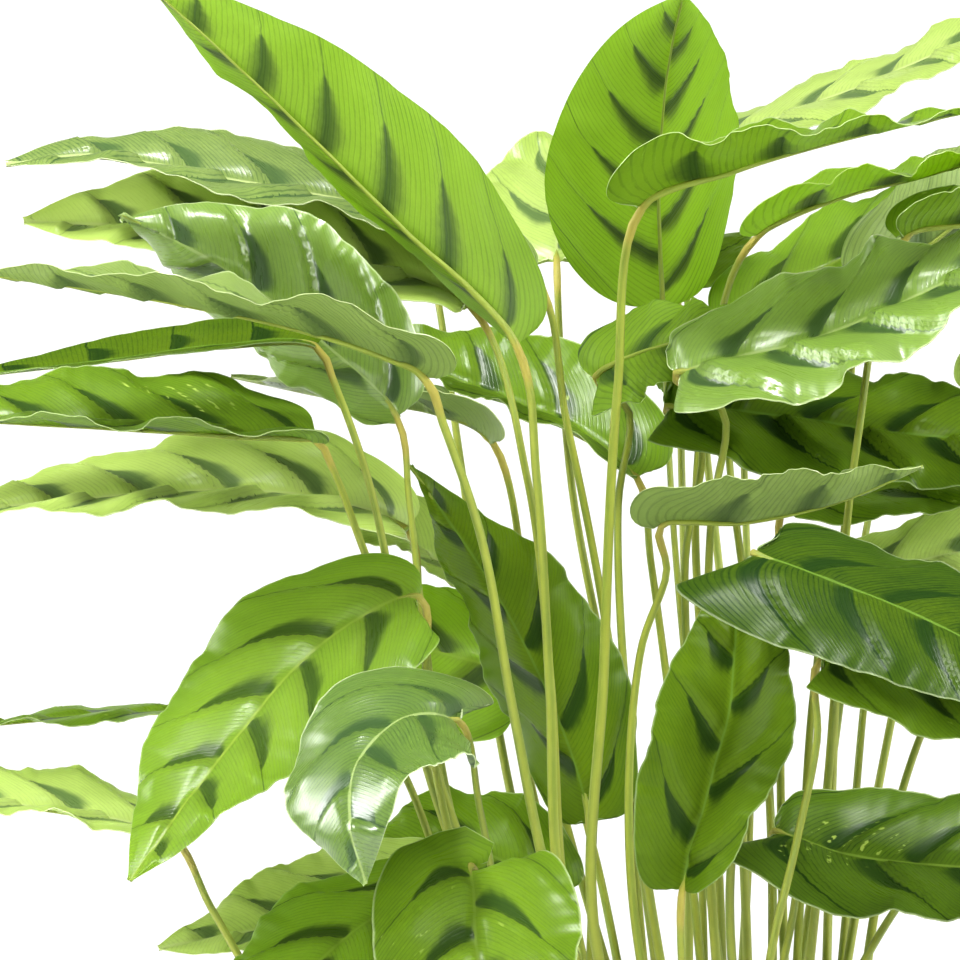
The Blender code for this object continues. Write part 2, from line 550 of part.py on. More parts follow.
def round_cutter(name, place, radius, bottom, top, sides, cutters):
    """An upright round bar that is cut out of another piece."""
    shape = bmesh.new()
    bmesh.ops.create_cone(shape, cap_ends=True, segments=sides, radius1=radius * MM,
                          radius2=radius * MM, depth=(top - bottom) * MM)
    mesh = bpy.data.meshes.new(name)
    shape.to_mesh(mesh)
    shape.free()
    cutter = bpy.data.objects.new(name, mesh)
    cutter.location = (place[0] * MM, place[1] * MM, (bottom + top) / 2 * MM)
    cutter.hide_render = True
    cutter.display_type = "WIRE"
    cutters.objects.link(cutter)


def cut_holes(piece, cutters):
    cut = piece.modifiers.new("holes", "BOOLEAN")
    cut.operation = "DIFFERENCE"
    cut.operand_type = "COLLECTION"
    cut.collection = cutters
    cut.solver = "EXACT"


def new_cutters(name):
    cutters = bpy.data.collections.new(name)
    bpy.context.scene.collection.children.link(cutters)
    return cutters


def pot_radius(height):
    """The pot's outer radius at a height, without its rim."""
    return POT_FOOT_RADIUS + (POT_TOP_RADIUS - POT_FOOT_RADIUS) * height / POT_HEIGHT


def make_pot():
    """A plain tapered pot with a rim band and drain holes, open at the top."""
    rim = POT_HEIGHT - POT_RIM_HEIGHT
    floor = 2 * POT_WALL
    profile = [
        (0, 0),
        (POT_FOOT_RADIUS - POT_FOOT_BEVEL, 0),
        (POT_FOOT_RADIUS, POT_FOOT_BEVEL),
        (pot_radius(rim), rim),
        (pot_radius(rim) + POT_RIM_PROUD, rim + POT_RIM_BEVEL),
        (POT_TOP_RADIUS + POT_RIM_PROUD, POT_HEIGHT - POT_RIM_BEVEL),
        (POT_TOP_RADIUS + POT_RIM_PROUD - POT_RIM_BEVEL, POT_HEIGHT),
        (POT_TOP_RADIUS - POT_WALL, POT_HEIGHT),
        (pot_radius(floor) - POT_WALL, floor),
        (0, floor),
    ]
    material = finish("pot", POT_COLOUR, 0.45)
    pot = add_object("pot", turned("pot", profile), material, 40)
    cutters = new_cutters("drain_holes")
    for i in range(DRAIN_HOLES):
        angle = math.tau * i / DRAIN_HOLES
        place = (DRAIN_RING_RADIUS * math.cos(angle), DRAIN_RING_RADIUS * math.sin(angle))
        round_cutter(f"drain_hole_{i + 1}", place, DRAIN_HOLE_RADIUS, -CUT_BEYOND,
                     floor + CUT_BEYOND, DRAIN_HOLE_SIDES, cutters)
    cut_holes(pot, cutters)
    return pot


def make_soil(rows):
    """The soil that fills the pot, with a plain hole for each petiole."""
    def inside(height):
        return pot_radius(height) - POT_WALL - GAP
    profile = [
        (0, SOIL_BOTTOM),
        (inside(SOIL_BOTTOM), SOIL_BOTTOM),
        (inside(SOIL_TOP - SOIL_EDGE_DROP), SOIL_TOP - SOIL_EDGE_DROP),
        (inside(SOIL_TOP) - SOIL_EDGE_REACH, SOIL_TOP),
        (0, SOIL_TOP),
    ]
    material = finish("soil", SOIL_COLOUR, 0.95)
    soil = add_object("soil", turned("soil", profile), material, 40)
    cutters = new_cutters("petiole_holes")
    bottom = SOIL_TOP - ROOT_DEPTH - GAP
    for row in rows:
        flat = STEM_RADIUS_AT_ROOT * row["stem_size"] + GAP
        radius = flat / math.cos(math.pi / PETIOLE_HOLE_SIDES)
        round_cutter("hole_" + row["name"], row["root"], radius, bottom, SOIL_TOP + CUT_BEYOND,
                     PETIOLE_HOLE_SIDES, cutters)
    cut_holes(soil, cutters)
    return soil


def main():
    clear_scene()
    settle_roots(LEAVES)
    make_pot()
    make_soil(LEAVES)
    for row in LEAVES:
        make_leaf(row)


main()
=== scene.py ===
# %% [markdown]
# # A potted prayer plant, dressed
# This is calathea leopardina: long leaves on thin petioles, each marked with dark lance-shaped
# blotches along its veins. The imported frame already holds the plant's solids at real size. Here every
# leaf is drawn again from the same few listed points, with many more faces, its veins, its quilting
# and its colours, and then stands for its solid.

# %% Load the frame
import math

import bmesh
import bpy
import numpy as np
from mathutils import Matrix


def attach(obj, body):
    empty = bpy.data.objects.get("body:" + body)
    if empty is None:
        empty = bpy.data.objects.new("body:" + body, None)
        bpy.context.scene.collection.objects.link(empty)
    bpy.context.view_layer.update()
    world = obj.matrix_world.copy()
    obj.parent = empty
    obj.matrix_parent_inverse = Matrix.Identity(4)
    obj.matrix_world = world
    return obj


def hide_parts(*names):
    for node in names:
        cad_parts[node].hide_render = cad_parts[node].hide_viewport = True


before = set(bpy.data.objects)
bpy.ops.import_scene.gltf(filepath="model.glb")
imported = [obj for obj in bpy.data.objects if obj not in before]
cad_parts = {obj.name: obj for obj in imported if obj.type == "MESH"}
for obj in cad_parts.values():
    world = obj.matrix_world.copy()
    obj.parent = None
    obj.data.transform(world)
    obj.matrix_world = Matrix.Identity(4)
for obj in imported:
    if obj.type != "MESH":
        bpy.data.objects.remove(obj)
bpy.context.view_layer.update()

# %% [markdown]
# ## Units and driving sizes
# A leaf is easiest to think about in millimetres, and Blender works in metres, so every point is
# multiplied by MM when its mesh is made. The pot and soil sizes are the ones that the solids were
# built from. They could be measured from the frame instead, but named sizes read better.

# %% Driving sizes
MM = 0.001
POT_HEIGHT, POT_TOP_RADIUS, POT_FOOT_RADIUS, POT_WALL = 180, 94, 70, 2.4
POT_RIM_HEIGHT, POT_RIM_PROUD = 18, 3
DRAIN_HOLES, DRAIN_HOLE_RADIUS, DRAIN_RING_RADIUS = 6, 5, 44
SOIL_TOP, SOIL_BOTTOM, SOIL_GAP = 165, 8, 0.3
ROOT_SPACING = 6.6
STEM_START = 4
STEM_RADIUS_AT_ROOT, STEM_RADIUS_AT_BLADE, RIB_RADIUS_AT_TIP = 2.15, 1.4, 0.45
BLADE_THICKNESS, MARGIN_THICKNESS = 0.7, 0.3
LOBE_REACH = 0.06
BASE_FULLNESS, BASE_ROUNDING = 2.3, 0.42
TIP_FULLNESS, TIP_TRIM, TIP_TRIM_POWER = 1.8, 0.1, 6

# %% [markdown]
# ## The leaves' own points
# Each row is one leaf: where it wants to leave the soil, a few points that its petiole passes, and a
# few along its midrib. The two halves of a blade swing away from the face by their own angles, which
# is how one rule draws leaves seen flat, folded, and edge-on. These values repeat those of the solids.
# They could be read off the solids, but listed points are easier to change. The last ones of a
# row are the scene's own: each leaf has one of six looks, a shift in tone, and its own quilting,
# slant of veins and frill. Leaves of one plant differ in colour and relief, but the pale and bright
# looks also stand for leaves in strong light, lit from behind or in the haze at the back, a painted
# light, and the tone is partly painted light too: it lightens leaves that stand in shade and darkens
# leaves that glare.

# %% The leaf table
FRONT = (0, -1, 0)
ABOVE = (0, 0, 1)
LEAVES = []
USUAL = dict(wide=0.38, curl=(0, 12), wave=(2, 3, 0), lobe=(5, 5), face=FRONT, shows="top",
             stem_size=1.0, look="mid", tone=0, quilt=0.8, lean=1.0, frill=1.0)


def leaf(name, root, stem, rib, half, turn, **own):
    """Note one leaf, in millimetres and degrees; pairs are for the left and the right half.

    A greater tone is darker. The tone is partly the leaf's own and partly painted light, which lightens a
    leaf that stands in shade and darkens one that glares. The depth of the quilting, the lean of the
    veins and the frill of the margin are shares of the plant's usual ones.
    """
    LEAVES.append({**USUAL, **own, "name": "leaf_" + name, "root": root, "stem": stem, "rib": rib,
                   "half": half, "turn": turn})


leaf("top_left", (-36, -25), [(-51, -45, 287), (-56.5, -58, 370), (-61, -70, 440)],
     [(-68, -80, 486), (-109, -95, 528), (-156, -105, 574), (-203, -112, 617)],
     37, [(78, 34), (76, 5), (70, 5)], wide=0.31, curl=(10, 10), shows="under", stem_size=1.15, look="bright",
     quilt=0.45, frill=0.6)
leaf("top_centre", (4, 24), [(-2, 50, 300), (-12, 75, 430)],
     [(-15, 90, 501), (-17, 55, 540), (-15, 10, 580), (-10, -30, 609)],
     41, [(8, 32), (0, 44), (35, 54)], wide=0.34, curl=(10, 10), wave=(0.8, 3, 0), lobe=(2, 2), shows="under",
     stem_size=0.85, look="bright", tone=-0.12, quilt=0.5, frill=0.5)
leaf("right_arching_high", (-20, -12), [(-39, -30, 272), (-37.5, -42, 376), (-33, -50, 470)],
     [(-24.5, -55, 534), (6, -62, 546), (42, -70, 556), (92, -78, 567)],
     31, [(-48, 122), (-73, 107), (-84, 96)], wide=0.3, curl=(-5, 5), wave=(3, 4, 0), lobe=(10, 6),
     shows="under", stem_size=1.2, tone=-0.1, quilt=0.45, lean=0.35)
leaf("right_top", (15, 35), [(12, 70, 330), (-2, 116, 480)],
     [(-8, 126, 555), (28, 122, 572), (60, 114, 584), (122, 96, 611)],
     26, [(72, -74), (70, -76), (50, -70)], look="pale", tone=0.12)
leaf("right_second", (8, 22), [(4, 44, 300), (-4, 58, 430), (2, 58, 484)],
     [(17, 8, 525.5), (46, 6, 539), (75, 2, 546), (130, -4, 563)],
     25, [(-64, 114), (-77, 102), (-76, 104)], wide=0.3, curl=(-5, 5), wave=(2, 4, 0.3), shows="under",
     look="bright", tone=-0.05, quilt=0.45, lean=0.4)
leaf("right_backlit", (22, 30), [(22, 50, 330), (8, 66, 450)],
     [(8, 70, 497), (39, 84, 514), (72, 92, 531), (125, 100, 560)],
     30, [(60, 60), (50, 60), (50, 60)], lobe=(2, 2), look="bright", tone=0.12)
leaf("right_veined", (30, 6), [(44, 54, 320), (50, 76, 430)],
     [(58, 66, 508), (80, 62, 524), (105, 62, 545), (140, 62, 582)],
     30, [(30, 40), (35, 50), (40, 50)], shows="under", look="sage")
leaf("right_third", (26, -8), [(40, -26, 330), (50, -32, 450)],
     [(68, -10, 524), (90, -10, 529), (115, -14, 535), (165, -20, 548)],
     27, [(-60, 120), (-68, 115), (-70, 112)], wide=0.3, curl=(-5, 5), shows="under", lean=0.5)
leaf("right_glossy", (-2, -14), [(0, -12, 300), (0, -16, 425), (5, -14, 462)],
     [(-13, -44, 477), (34, -54, 490), (70, -62, 505), (130, -72, 537)],
     34, [(50, -60), (46, -66), (60, -74)], wide=0.35, wave=(3.5, 4, 0.2), lobe=(9, 7), look="glossy",
     tone=0.1, quilt=1.5, frill=1.4)
leaf("right_dark", (12, 0), [(0, 26, 300), (-8, 42, 410), (-2, 44, 452)],
     [(-15, 18, 466), (30, 10, 463), (62, 5, 458), (140, -6, 452)],
     32, [(50, -55), (48, -58), (50, -50)], wave=(3, 3, 0.5), lobe=(10, 10), look="dark", tone=0.2, quilt=1.3,
     frill=1.6)
leaf("right_low_bright", (18, 12), [(26, 30, 300), (26, 38, 400)],
     [(28, 40, 432), (60, 38, 437), (90, 34, 444), (158, 28, 462)],
     27, [(60, -72), (60, -72), (60, -72)])
leaf("centre_sage", (-16, -26), [(-28, -36, 300), (-25, -42, 380), (-16, -50, 408)],
     [(-18, -62, 424), (10, -70, 425), (40, -76, 431), (72, -80, 444)],
     25, [(-55, 120), (-48, 118), (-50, 110)], curl=(-5, 5), wave=(2, 4, 0.5), lobe=(9, 6), shows="under",
     look="sage", quilt=0.6)
leaf("centre_fan", (-16, 2), [(-26, 6, 330), (-32, 16, 430), (-28, 26, 464)],
     [(-40, 12, 476), (-26, 2, 484), (-8, -12, 490), (16, -27, 497)],
     22, [(40, -55), (50, -55), (50, -50)], wide=0.3, wave=(1.5, 4, 0), lobe=(8, 8), shows="under")
leaf("left_high_pale", (-14, 14), [(-38, 20, 400), (-50, 14, 460)],
     [(-62, 2, 512), (-110, -8, 534), (-168, -16, 546), (-216, -19, 554), (-246, -20, 551)],
     30, [(-75, 48), (-80, 50), (-85, 50)], wide=0.5, look="pale", tone=1.0, quilt=1.2)
leaf("left_second_pale", (-32, -12), [(-50, -18, 287), (-56, -30, 370), (-64, -26, 440)],
     [(-84, -5, 501), (-130, -4, 519), (-187, -6, 528.5), (-240, -10, 531)],
     31, [(-70, 40), (-68, 32), (-70, 26)], wide=0.55, look="pale", tone=-0.35, quilt=1.2)
leaf("left_quilted", (-42, -6), [(-88, -40, 315), (-100, -50, 390), (-105, -54, 433)],
     [(-109, -60, 461), (-134, -60, 486), (-170, -60, 513), (-204, -64, 531)],
     35, [(56, 22), (58, 5), (55, 30)], wide=0.48, lobe=(2, 2), wave=(2, 3, 0.2), stem_size=0.9,
     look="glossy", tone=0.1, quilt=1.7)
leaf("left_curled_sage", (-38, -42), [(-54, -64, 290), (-69, -84, 360), (-80, -96, 420), (-93, -110, 459)],
     [(-99, -118, 474), (-125, -130, 485.5), (-185, -144, 499), (-252, -152, 509)],
     34, [(88, -60), (112, -76), (112, -62)], curl=(0, -5), wave=(2.5, 3.5, 0.3), lobe=(9, 6), shows="under",
     stem_size=1.15, look="sage")
leaf("left_strip", (-46, -36), [(-86, -64, 313), (-104, -72, 370), (-118, -78, 437), (-130, -82, 472)],
     [(-137, -84, 486), (-170, -76, 486), (-205, -62, 481.5), (-262, -54, 475)],
     15, [(128, -94), (128, -91), (128, -90)], curl=(0, -5), wave=(0.5, 3, 0), shows="under", look="dark",
     tone=0.4, quilt=0.15, lean=0.3, frill=0.2)
leaf("left_bright", (-54, -24), [(-94, -54, 325), (-113, -62, 395), (-122, -72, 420), (-131, -86, 444)],
     [(-137, -94, 454), (-165, -102, 456.5), (-210, -110, 459), (-290, -120, 463)],
     32, [(-94, 50), (-94, 48), (-94, 50)], curl=(0, 5), wave=(2.5, 3.5, 0.1), tone=0.2)
leaf("left_long_pale", (-34, 0), [(-90, -26, 318), (-101, -20, 390)],
     [(-106, -12, 423), (-130, -22, 433.5), (-170, -30, 437.5), (-285, -42, 428)],
     33, [(-78, 35), (-80, 48), (-84, 60)], wide=0.3, wave=(1.5, 4, 0.2), look="pale", tone=-0.2, quilt=1.2)
leaf("centre_glossy", (8, 18), [(-6, 30, 300), (-20, 38, 410)],
     [(-25, 45, 441), (-50, 56, 460), (-82, 68, 473), (-128, 82, 495)],
     31, [(-85, 25), (-85, 18), (-85, 30)], wide=0.36, wave=(2, 4, 0.5), tone=0.1)
leaf("centre_ochre", (-28, 16), [(-51, 56, 322), (-61, 31, 368)],
     [(-76, 5, 453), (-95, 8, 463.5), (-130, 12, 469), (-168, 15, 477)],
     22, [(-118, 62), (-112, 65), (-110, 65)], shows="under", look="sage")
leaf("back_pale", (-6, 40), [(-20, 56, 240), (-30, 62, 340), (-48, 84, 440)],
     [(-53, 98, 519), (-52, 122, 540), (-48, 146, 553), (-40, 174, 560)],
     30, [(10, 10), (10, 10), (10, 10)], look="pale")
leaf("centre_dark", (-30, 0), [(-40, -4, 240)],
     [(-42.5, -10, 320), (-54, -14, 358), (-76, -20, 402), (-105, -24, 445)],
     33, [(55, 25), (60, 22), (60, 40)], look="dark", tone=0.1)
leaf("behind_left", (-24, 24), [(-41, 68, 312)],
     [(-60, 42, 366), (-90, 40, 378), (-125, 36, 384), (-170, 26, 380)],
     32, [(10, 40), (10, 38), (20, 40)], look="bright", tone=0.05)
leaf("behind_centre", (-28, 34), [(-62, 88, 330)],
     [(-78, 88, 400), (-98, 82, 413), (-118, 76, 424), (-155, 68, 438)],
     22, [(-80, 30), (-80, 30), (-80, 40)], look="pale")
leaf("left_drooping", (-58, -38), [(-86, -76, 300), (-99, -86, 362)],
     [(-101, -92, 400), (-134, -108, 385), (-168, -132, 347), (-198, -166, 306)],
     36, [(-38, 35), (-44, 30), (-46, 25)], wide=0.36, lobe=(5, 4), look="bright", tone=0.14)
leaf("front_sage", (-46, -48), [(-66, -80, 260), (-80, -98, 325)],
     [(-88, -146, 359), (-106, -168, 361), (-122, -188, 346), (-124, -206, 325), (-118.5, -210, 306)],
     34, [(-62, 52), (-42, 50), (-20, 24)], wide=0.4, lobe=(1, 44), stem_size=0.9, look="glossy", tone=0.8,
     quilt=1.0, frill=0.5)
leaf("front_low", (-34, -58), [(-60, -98, 240), (-76, -120, 290)],
     [(-83, -132, 309), (-82.5, -150, 298), (-80, -180, 262), (-73, -214, 205)],
     36, [(-10, -25), (-15, -20), (-20, -20)], wide=0.3, lobe=(6, 10), tone=-0.05, quilt=1.1)
leaf("low_behind", (-22, 8), [(-34, 18, 240)],
     [(-56, 24, 292), (-74, 25, 307), (-95, 25, 313), (-126, 24, 306)],
     29, [(-36, 20), (-36, 38), (-36, 42)])
leaf("low_left", (-54, -22), [(-84, -52, 260)],
     [(-100, -75, 298), (-118, -90, 290), (-140, -108, 272), (-172, -132, 232)],
     32, [(-35, 38), (-38, 36), (-30, 30)], look="bright", tone=0.22)
leaf("low_left_pale", (-46, 4), [(-68, 2, 250)],
     [(-85, -2, 296), (-120, -14, 293), (-155, -26, 285), (-192, -36, 278)],
     29, [(-64, 30), (-66, 36), (-66, 40)], look="pale", tone=-0.15)
leaf("far_left_narrow", (-50, 12), [(-92, -32, 300)],
     [(-118, -30, 352), (-165, -38, 360), (-205, -46, 360), (-285, -56, 353)],
     22, [(-84, 80), (-86, 80), (-86, 80)], wave=(1.5, 3, 0))
leaf("far_left_low", (-62, -24), [(-138, -62, 240), (-172, -80, 292)],
     [(-185, -88, 317), (-206, -94, 325), (-235, -100, 329.5), (-300, -108, 336)],
     30, [(-86, 60), (-88, 58), (-88, 60)], look="pale")
leaf("front_upright", (-4, -48), [(-9, -84, 250)],
     [(-11.5, -98, 300), (-4, -104, 330), (5, -102, 365), (7, -92, 411)],
     27.5, [(-25, -66), (-30, -40), (-30, -32)], wide=0.5, curl=(5, 5), lobe=(4, 0), look="dark")
leaf("right_broad", (4, -30), [(6, -46, 300), (18, -66, 370), (31, -90, 401)],
     [(12, -128, 415.5), (42, -138, 405), (75, -148, 391), (150, -165, 348)],
     33, [(62, -36), (52, -46), (50, -50)], wide=0.25, lobe=(7, 26), look="dark", tone=1.0, quilt=0.6)
leaf("right_under", (10, -52), [(18, -96, 272), (27, -112, 316), (34, -119, 352)],
     [(35, -122, 379), (68, -126, 373), (100, -130, 364), (155, -136, 338)],
     26, [(50, -55), (50, -55), (50, -50)], wave=(2, 4, 0), lobe=(6, 10))
leaf("right_low", (20, -24), [(22, -30, 250), (29, -36, 300)],
     [(21, -60, 319), (45, -68, 312), (82, -78, 308), (158, -95, 308)],
     33, [(42, -55), (42, -66), (48, -68)], wide=0.36, wave=(2, 4, 0.4), lobe=(8, 22), tone=0.8, quilt=0.9)
leaf("right_back_pale", (28, 40), [(33, 36, 300), (38, 40, 370)],
     [(44, 46, 398), (72, 52, 411), (110, 60, 416), (165, 72, 406)],
     24, [(50, -55), (50, -55), (50, -55)], look="pale")
leaf("far_right", (38, 8), [(60, 8, 300), (78, 4, 360)],
     [(100, -4, 394), (136, -14, 416), (178, -24, 414), (228, -34, 388)],
     32, [(-20, -25), (5, 0), (10, 0)], face=ABOVE)
leaf("far_right_back", (38, 24), [(62, 70, 334), (80, 98, 410)],
     [(104, 116, 470), (134, 136, 492), (168, 158, 494), (208, 182, 474)],
     33, [(-25, -25), (-5, -5), (0, 5)], face=ABOVE, look="pale")
leaf("far_right_low", (36, -20), [(48, -24, 262)],
     [(98, -30, 330), (134, -40, 348), (172, -50, 344), (218, -60, 318)],
     32, [(-25, -20), (0, 0), (10, 5)], face=ABOVE, look="bright")
leaf("far_right_front", (28, -44), [(52, -76, 214)],
     [(88, -108, 246), (120, -136, 256), (152, -164, 250), (188, -198, 226)],
     31, [(-20, -25), (0, -5), (10, 5)], face=ABOVE, tone=0.25)
leaf("back_mid", (12, 34), [(16, 84, 330), (15, 112, 430)],
     [(14, 132, 462), (12, 168, 480), (10, 210, 476), (8, 252, 450)],
     31, [(-25, -25), (-5, -5), (5, 5)], face=ABOVE, look="dark")
leaf("back_striped", (-4, 48), [(-6, 84, 330), (-8, 118, 450)],
     [(-9, 140, 508), (-11, 176, 526), (-14, 216, 526), (-17, 256, 504)],
     30, [(-25, -25), (-5, -5), (5, 5)], face=ABOVE, look="dark")
leaf("back_left_high", (-46, 34), [(-70, 98, 330), (-88, 114, 450)],
     [(-98, 128, 515), (-110, 162, 538), (-122, 200, 542), (-134, 242, 524)],
     34, [(-25, -25), (-5, -5), (5, 5)], face=ABOVE, look="pale")
leaf("back_right_low", (36, 34), [(50, 62, 290), (57, 86, 362)],
     [(62, 108, 394), (72, 148, 409), (84, 190, 407), (96, 236, 384)],
     31, [(-25, -25), (-5, -5), (5, 5)], face=ABOVE, look="pale")
leaf("back_left_low", (-34, 44), [(-48, 84, 290), (-60, 106, 345)],
     [(-72, 122, 376), (-82, 156, 393), (-92, 196, 391), (-102, 240, 368)],
     32, [(-25, -25), (-5, -5), (5, 5)], face=ABOVE)
leaf("back_right_high", (26, 48), [(44, 84, 330), (56, 106, 410)],
     [(66, 122, 448), (84, 152, 464), (102, 188, 462), (120, 230, 440)],
     30, [(-25, -25), (-5, -5), (5, 5)], face=ABOVE, look="pale")
leaf("back_centre_pale", (0, 50), [(-12, 78, 205)],
     [(-18, 108, 234), (-22, 148, 248), (-26, 192, 247), (-30, 236, 226)],
     31, [(-25, -25), (-5, -5), (5, 5)], face=ABOVE, look="pale")
leaf("back_low_left", (-52, 28), [(-80, 62, 250)],
     [(-96, 86, 283), (-114, 120, 294), (-134, 156, 288), (-156, 196, 262)],
     31, [(-20, -20), (0, 0), (10, 10)], face=ABOVE)
leaf("back_low_right", (46, 20), [(56, 56, 260)],
     [(64, 82, 298), (78, 116, 310), (94, 154, 305), (112, 196, 280)],
     31, [(-20, -20), (0, 0), (10, 10)], face=ABOVE, look="pale")
leaf("front_lowest", (-8, -56), [(-26, -80, 190)],
     [(-42, -104, 208), (-48, -144, 214), (-54, -188, 202), (-60, -234, 172)],
     31, [(-15, -15), (0, 0), (8, 8)], face=ABOVE)
leaf("front_right_lowest", (18, -54), [(30, -80, 192)],
     [(38, -106, 212), (50, -144, 220), (62, -186, 210), (74, -232, 180)],
     31, [(-15, -15), (0, 0), (8, 8)], face=ABOVE, look="dark")
leaf("left_lowest", (-64, 0), [(-90, -4, 192)],
     [(-118, -8, 206), (-158, -12, 212), (-202, -18, 202), (-248, -26, 172)],
     31, [(-15, -15), (0, 0), (8, 8)], face=ABOVE)

print("leaves:", len(LEAVES))

# %% [markdown]
# ## A smooth centre line
# A petiole bends gently all the way and then turns at the pulvinus, the joint just under the blade.
# A Bezier curve object could draw it, but its points aren't evenly spaced along its length, and veins
# and blotches need real distances. So the curve is worked out here and read by length.

# %% The centre line
def unit(vectors):
    vectors = np.asarray(vectors, float)
    return vectors / np.linalg.norm(vectors, axis=-1, keepdims=True)


class Path:
    """A smooth curve through given points, read by the length along it."""

    STEPS, REACH = 32, 4.0

    def __init__(self, points):
        points = np.asarray(points, float)
        gaps = np.sqrt(np.linalg.norm(np.diff(points, axis=0), axis=1))
        slopes = np.diff(points, axis=0) / gaps[:, None]
        before, after = gaps[:-1, None], gaps[1:, None]
        inner = (slopes[:-1] * after + slopes[1:] * before) / (before + after)
        speeds = np.vstack([slopes[:1], inner, slopes[-1:]])
        u = np.linspace(0, 1, self.STEPS + 1)[1:, None]
        pieces = [points[:1]]
        for i, gap in enumerate(gaps):
            start, end = points[i], points[i + 1]
            leave, arrive = gap * speeds[i], gap * speeds[i + 1]
            pieces.append((2 * u**3 - 3 * u**2 + 1) * start + (u**3 - 2 * u**2 + u) * leave
                          + (3 * u**2 - 2 * u**3) * end + (u**3 - u**2) * arrive)
        self.fine = np.concatenate(pieces)
        steps = np.linalg.norm(np.diff(self.fine, axis=0), axis=1)
        self.lengths = np.concatenate([[0], np.cumsum(steps)])
        self.knots = self.lengths[np.arange(len(points)) * self.STEPS]

    def point(self, at):
        return np.stack([np.interp(at, self.lengths, self.fine[:, i]) for i in range(3)], axis=-1)

    def direction(self, at):
        ahead, behind = (np.clip(at + step, 0, self.lengths[-1]) for step in (self.REACH, -self.REACH))
        return unit(self.point(ahead) - self.point(behind))


# %% [markdown]
# ## Places in the soil
# The petioles of a real clump share a small patch of soil. Evenly spread places follow the spiral of
# seeds in a flower head, and each leaf takes the one nearest to its wish, by swaps that shorten the
# sum of squared distances. The solids were placed by the same rule, so both stand in the same holes.

# %% Places in the soil
LEAST_GAIN = 0.001


def settle_roots(rows):
    golden = math.pi * (3 - math.sqrt(5))
    places = [(ROOT_SPACING * math.sqrt(i + 0.5) * math.cos(i * golden),
               ROOT_SPACING * math.sqrt(i + 0.5) * math.sin(i * golden)) for i in range(len(rows))]
    wishes = [row["root"] for row in rows]
    taken = list(range(len(rows)))

    def cost(leaf_index, place_index):
        return math.dist(wishes[leaf_index], places[place_index])**2

    swapped = True
    while swapped:
        swapped = False
        for i in range(len(rows)):
            for j in range(i):
                a, b = taken[i], taken[j]
                if cost(i, b) + cost(j, a) < cost(i, a) + cost(j, b) - LEAST_GAIN:
                    taken[i], taken[j] = b, a
                    swapped = True
    for row, place in zip(rows, taken):
        row["root"] = places[place]


settle_roots(LEAVES)


def leaf_path(row):
    """The leaf's whole centre line above the soil, and how far along it the blade begins."""
    path = Path([(*row["root"], SOIL_TOP + STEM_START), *row["stem"], *row["rib"]])
    return path, path.knots[len(row["stem"]) + 1]


lengths = [leaf_path(row)[0].lengths[-1] for row in LEAVES]
print("from the soil to the tips:", round(min(lengths)), "to", round(max(lengths)), "mm")


# %% [markdown]
# ## The blade's surface
# A blade is wide near its base, pointed at its tip and waved along its margins. Each half bends about
# the midrib as an arc, so one formula gives every point of its middle surface. Sculpting would give
# the same shape by eye, but a formula can be measured and repeated for all the leaves.

# %% The blade's surface
WAVE_EASE = 0.4
OTHER_HALF_WAVE = 0.35
NEARLY_FLAT = 1e-6


def half_width(s, wide):
    """The half width's share of its greatest value: round at the base and pointed at the tip."""
    base = np.clip(1 - (np.clip(wide - s, 0, 1) / wide)**BASE_FULLNESS, 0, 1)**BASE_ROUNDING
    u = np.clip((s - wide) / (1 - wide), 0, 1)
    return np.where(s < wide, base, (1 - u**TIP_FULLNESS) * (1 - TIP_TRIM * u**TIP_TRIM_POWER))


def blade_surface(row, s, across):
    """The middle surface of a blade: s runs from its base to its tip, across from -1 to 1."""
    path, base = leaf_path(row)
    at = base + s * (path.lengths[-1] - base)
    forward = path.direction(at)
    right = unit(np.cross(forward, unit(row["face"])))
    away = -np.cross(right, forward)
    width = row["half"] * half_width(s, row["wide"])
    height, count, phase = row["wave"]
    calm_ends = np.sin(math.pi * s)**WAVE_EASE
    sweep = s / LOBE_REACH * np.exp(1 - s / LOBE_REACH)
    surface = np.zeros((len(s), len(across), 3))
    for column, t in enumerate(across):
        side = int(t > 0)
        sign = 1 if side else -1
        out = abs(t)
        start = np.radians(np.interp(s, (0, 0.5, 1), [turn[side] for turn in row["turn"]]))
        bend = math.radians(row["curl"][side]) + NEARLY_FLAT
        end = start + bend * out
        sideways = (np.sin(end) - np.sin(start)) / bend * width
        back = (np.cos(start) - np.cos(end)) / bend * width
        turns = count * s + phase + OTHER_HALF_WAVE * side
        ripple = height * out**2 * calm_ends * np.sin(math.tau * turns)
        sideways = sideways + ripple * np.sin(end)
        back = back - ripple * np.cos(end)
        reach = row["lobe"][side] * sweep * out
        surface[:, column] = (path.point(at) + sign * right * sideways[:, None]
                              + away * back[:, None] - forward * reach[:, None])
    return surface


# %% [markdown]
# ## Veins and quilting
# Side veins leave the midrib at a slant and swing towards the tip as they near the margin. A number
# that stays the same along one vein and grows towards the tip is all that the pattern needs: its whole
# steps are the blotches, and small shares of a step are the fine veins. Between the blotches the blade
# bulges a little, like a quilt, and falls into a crease beside each one. The crease is real relief,
# because the light catches it, while the fine veins are only bump and colour.

# %% Veins and quilting
BLOTCH_SPACING = 30
FIRST_BLOTCH, OTHER_HALF = 0.25, 0.5
LEAN_AT_RIB, LEAN_GROWTH = 0.62, 0.014
CREASE_SHARE, BULGE_FALL = 0.15, 1.4
FLAT_AT_RIB, FLAT_AT_MARGIN, FLAT_AT_BASE, FLAT_AT_TIP = 0.12, 0.36, 0.12, 0.18


def vein_steps(row, s, out, side, length):
    """Which blotch a point lies at, counted along the blade; halves alternate."""
    distance = out * row["half"] * half_width(s, row["wide"])
    lift = (LEAN_AT_RIB * distance + LEAN_GROWTH * distance**2) * row["lean"]
    return (s * length - lift) / BLOTCH_SPACING + OTHER_HALF * side + FIRST_BLOTCH


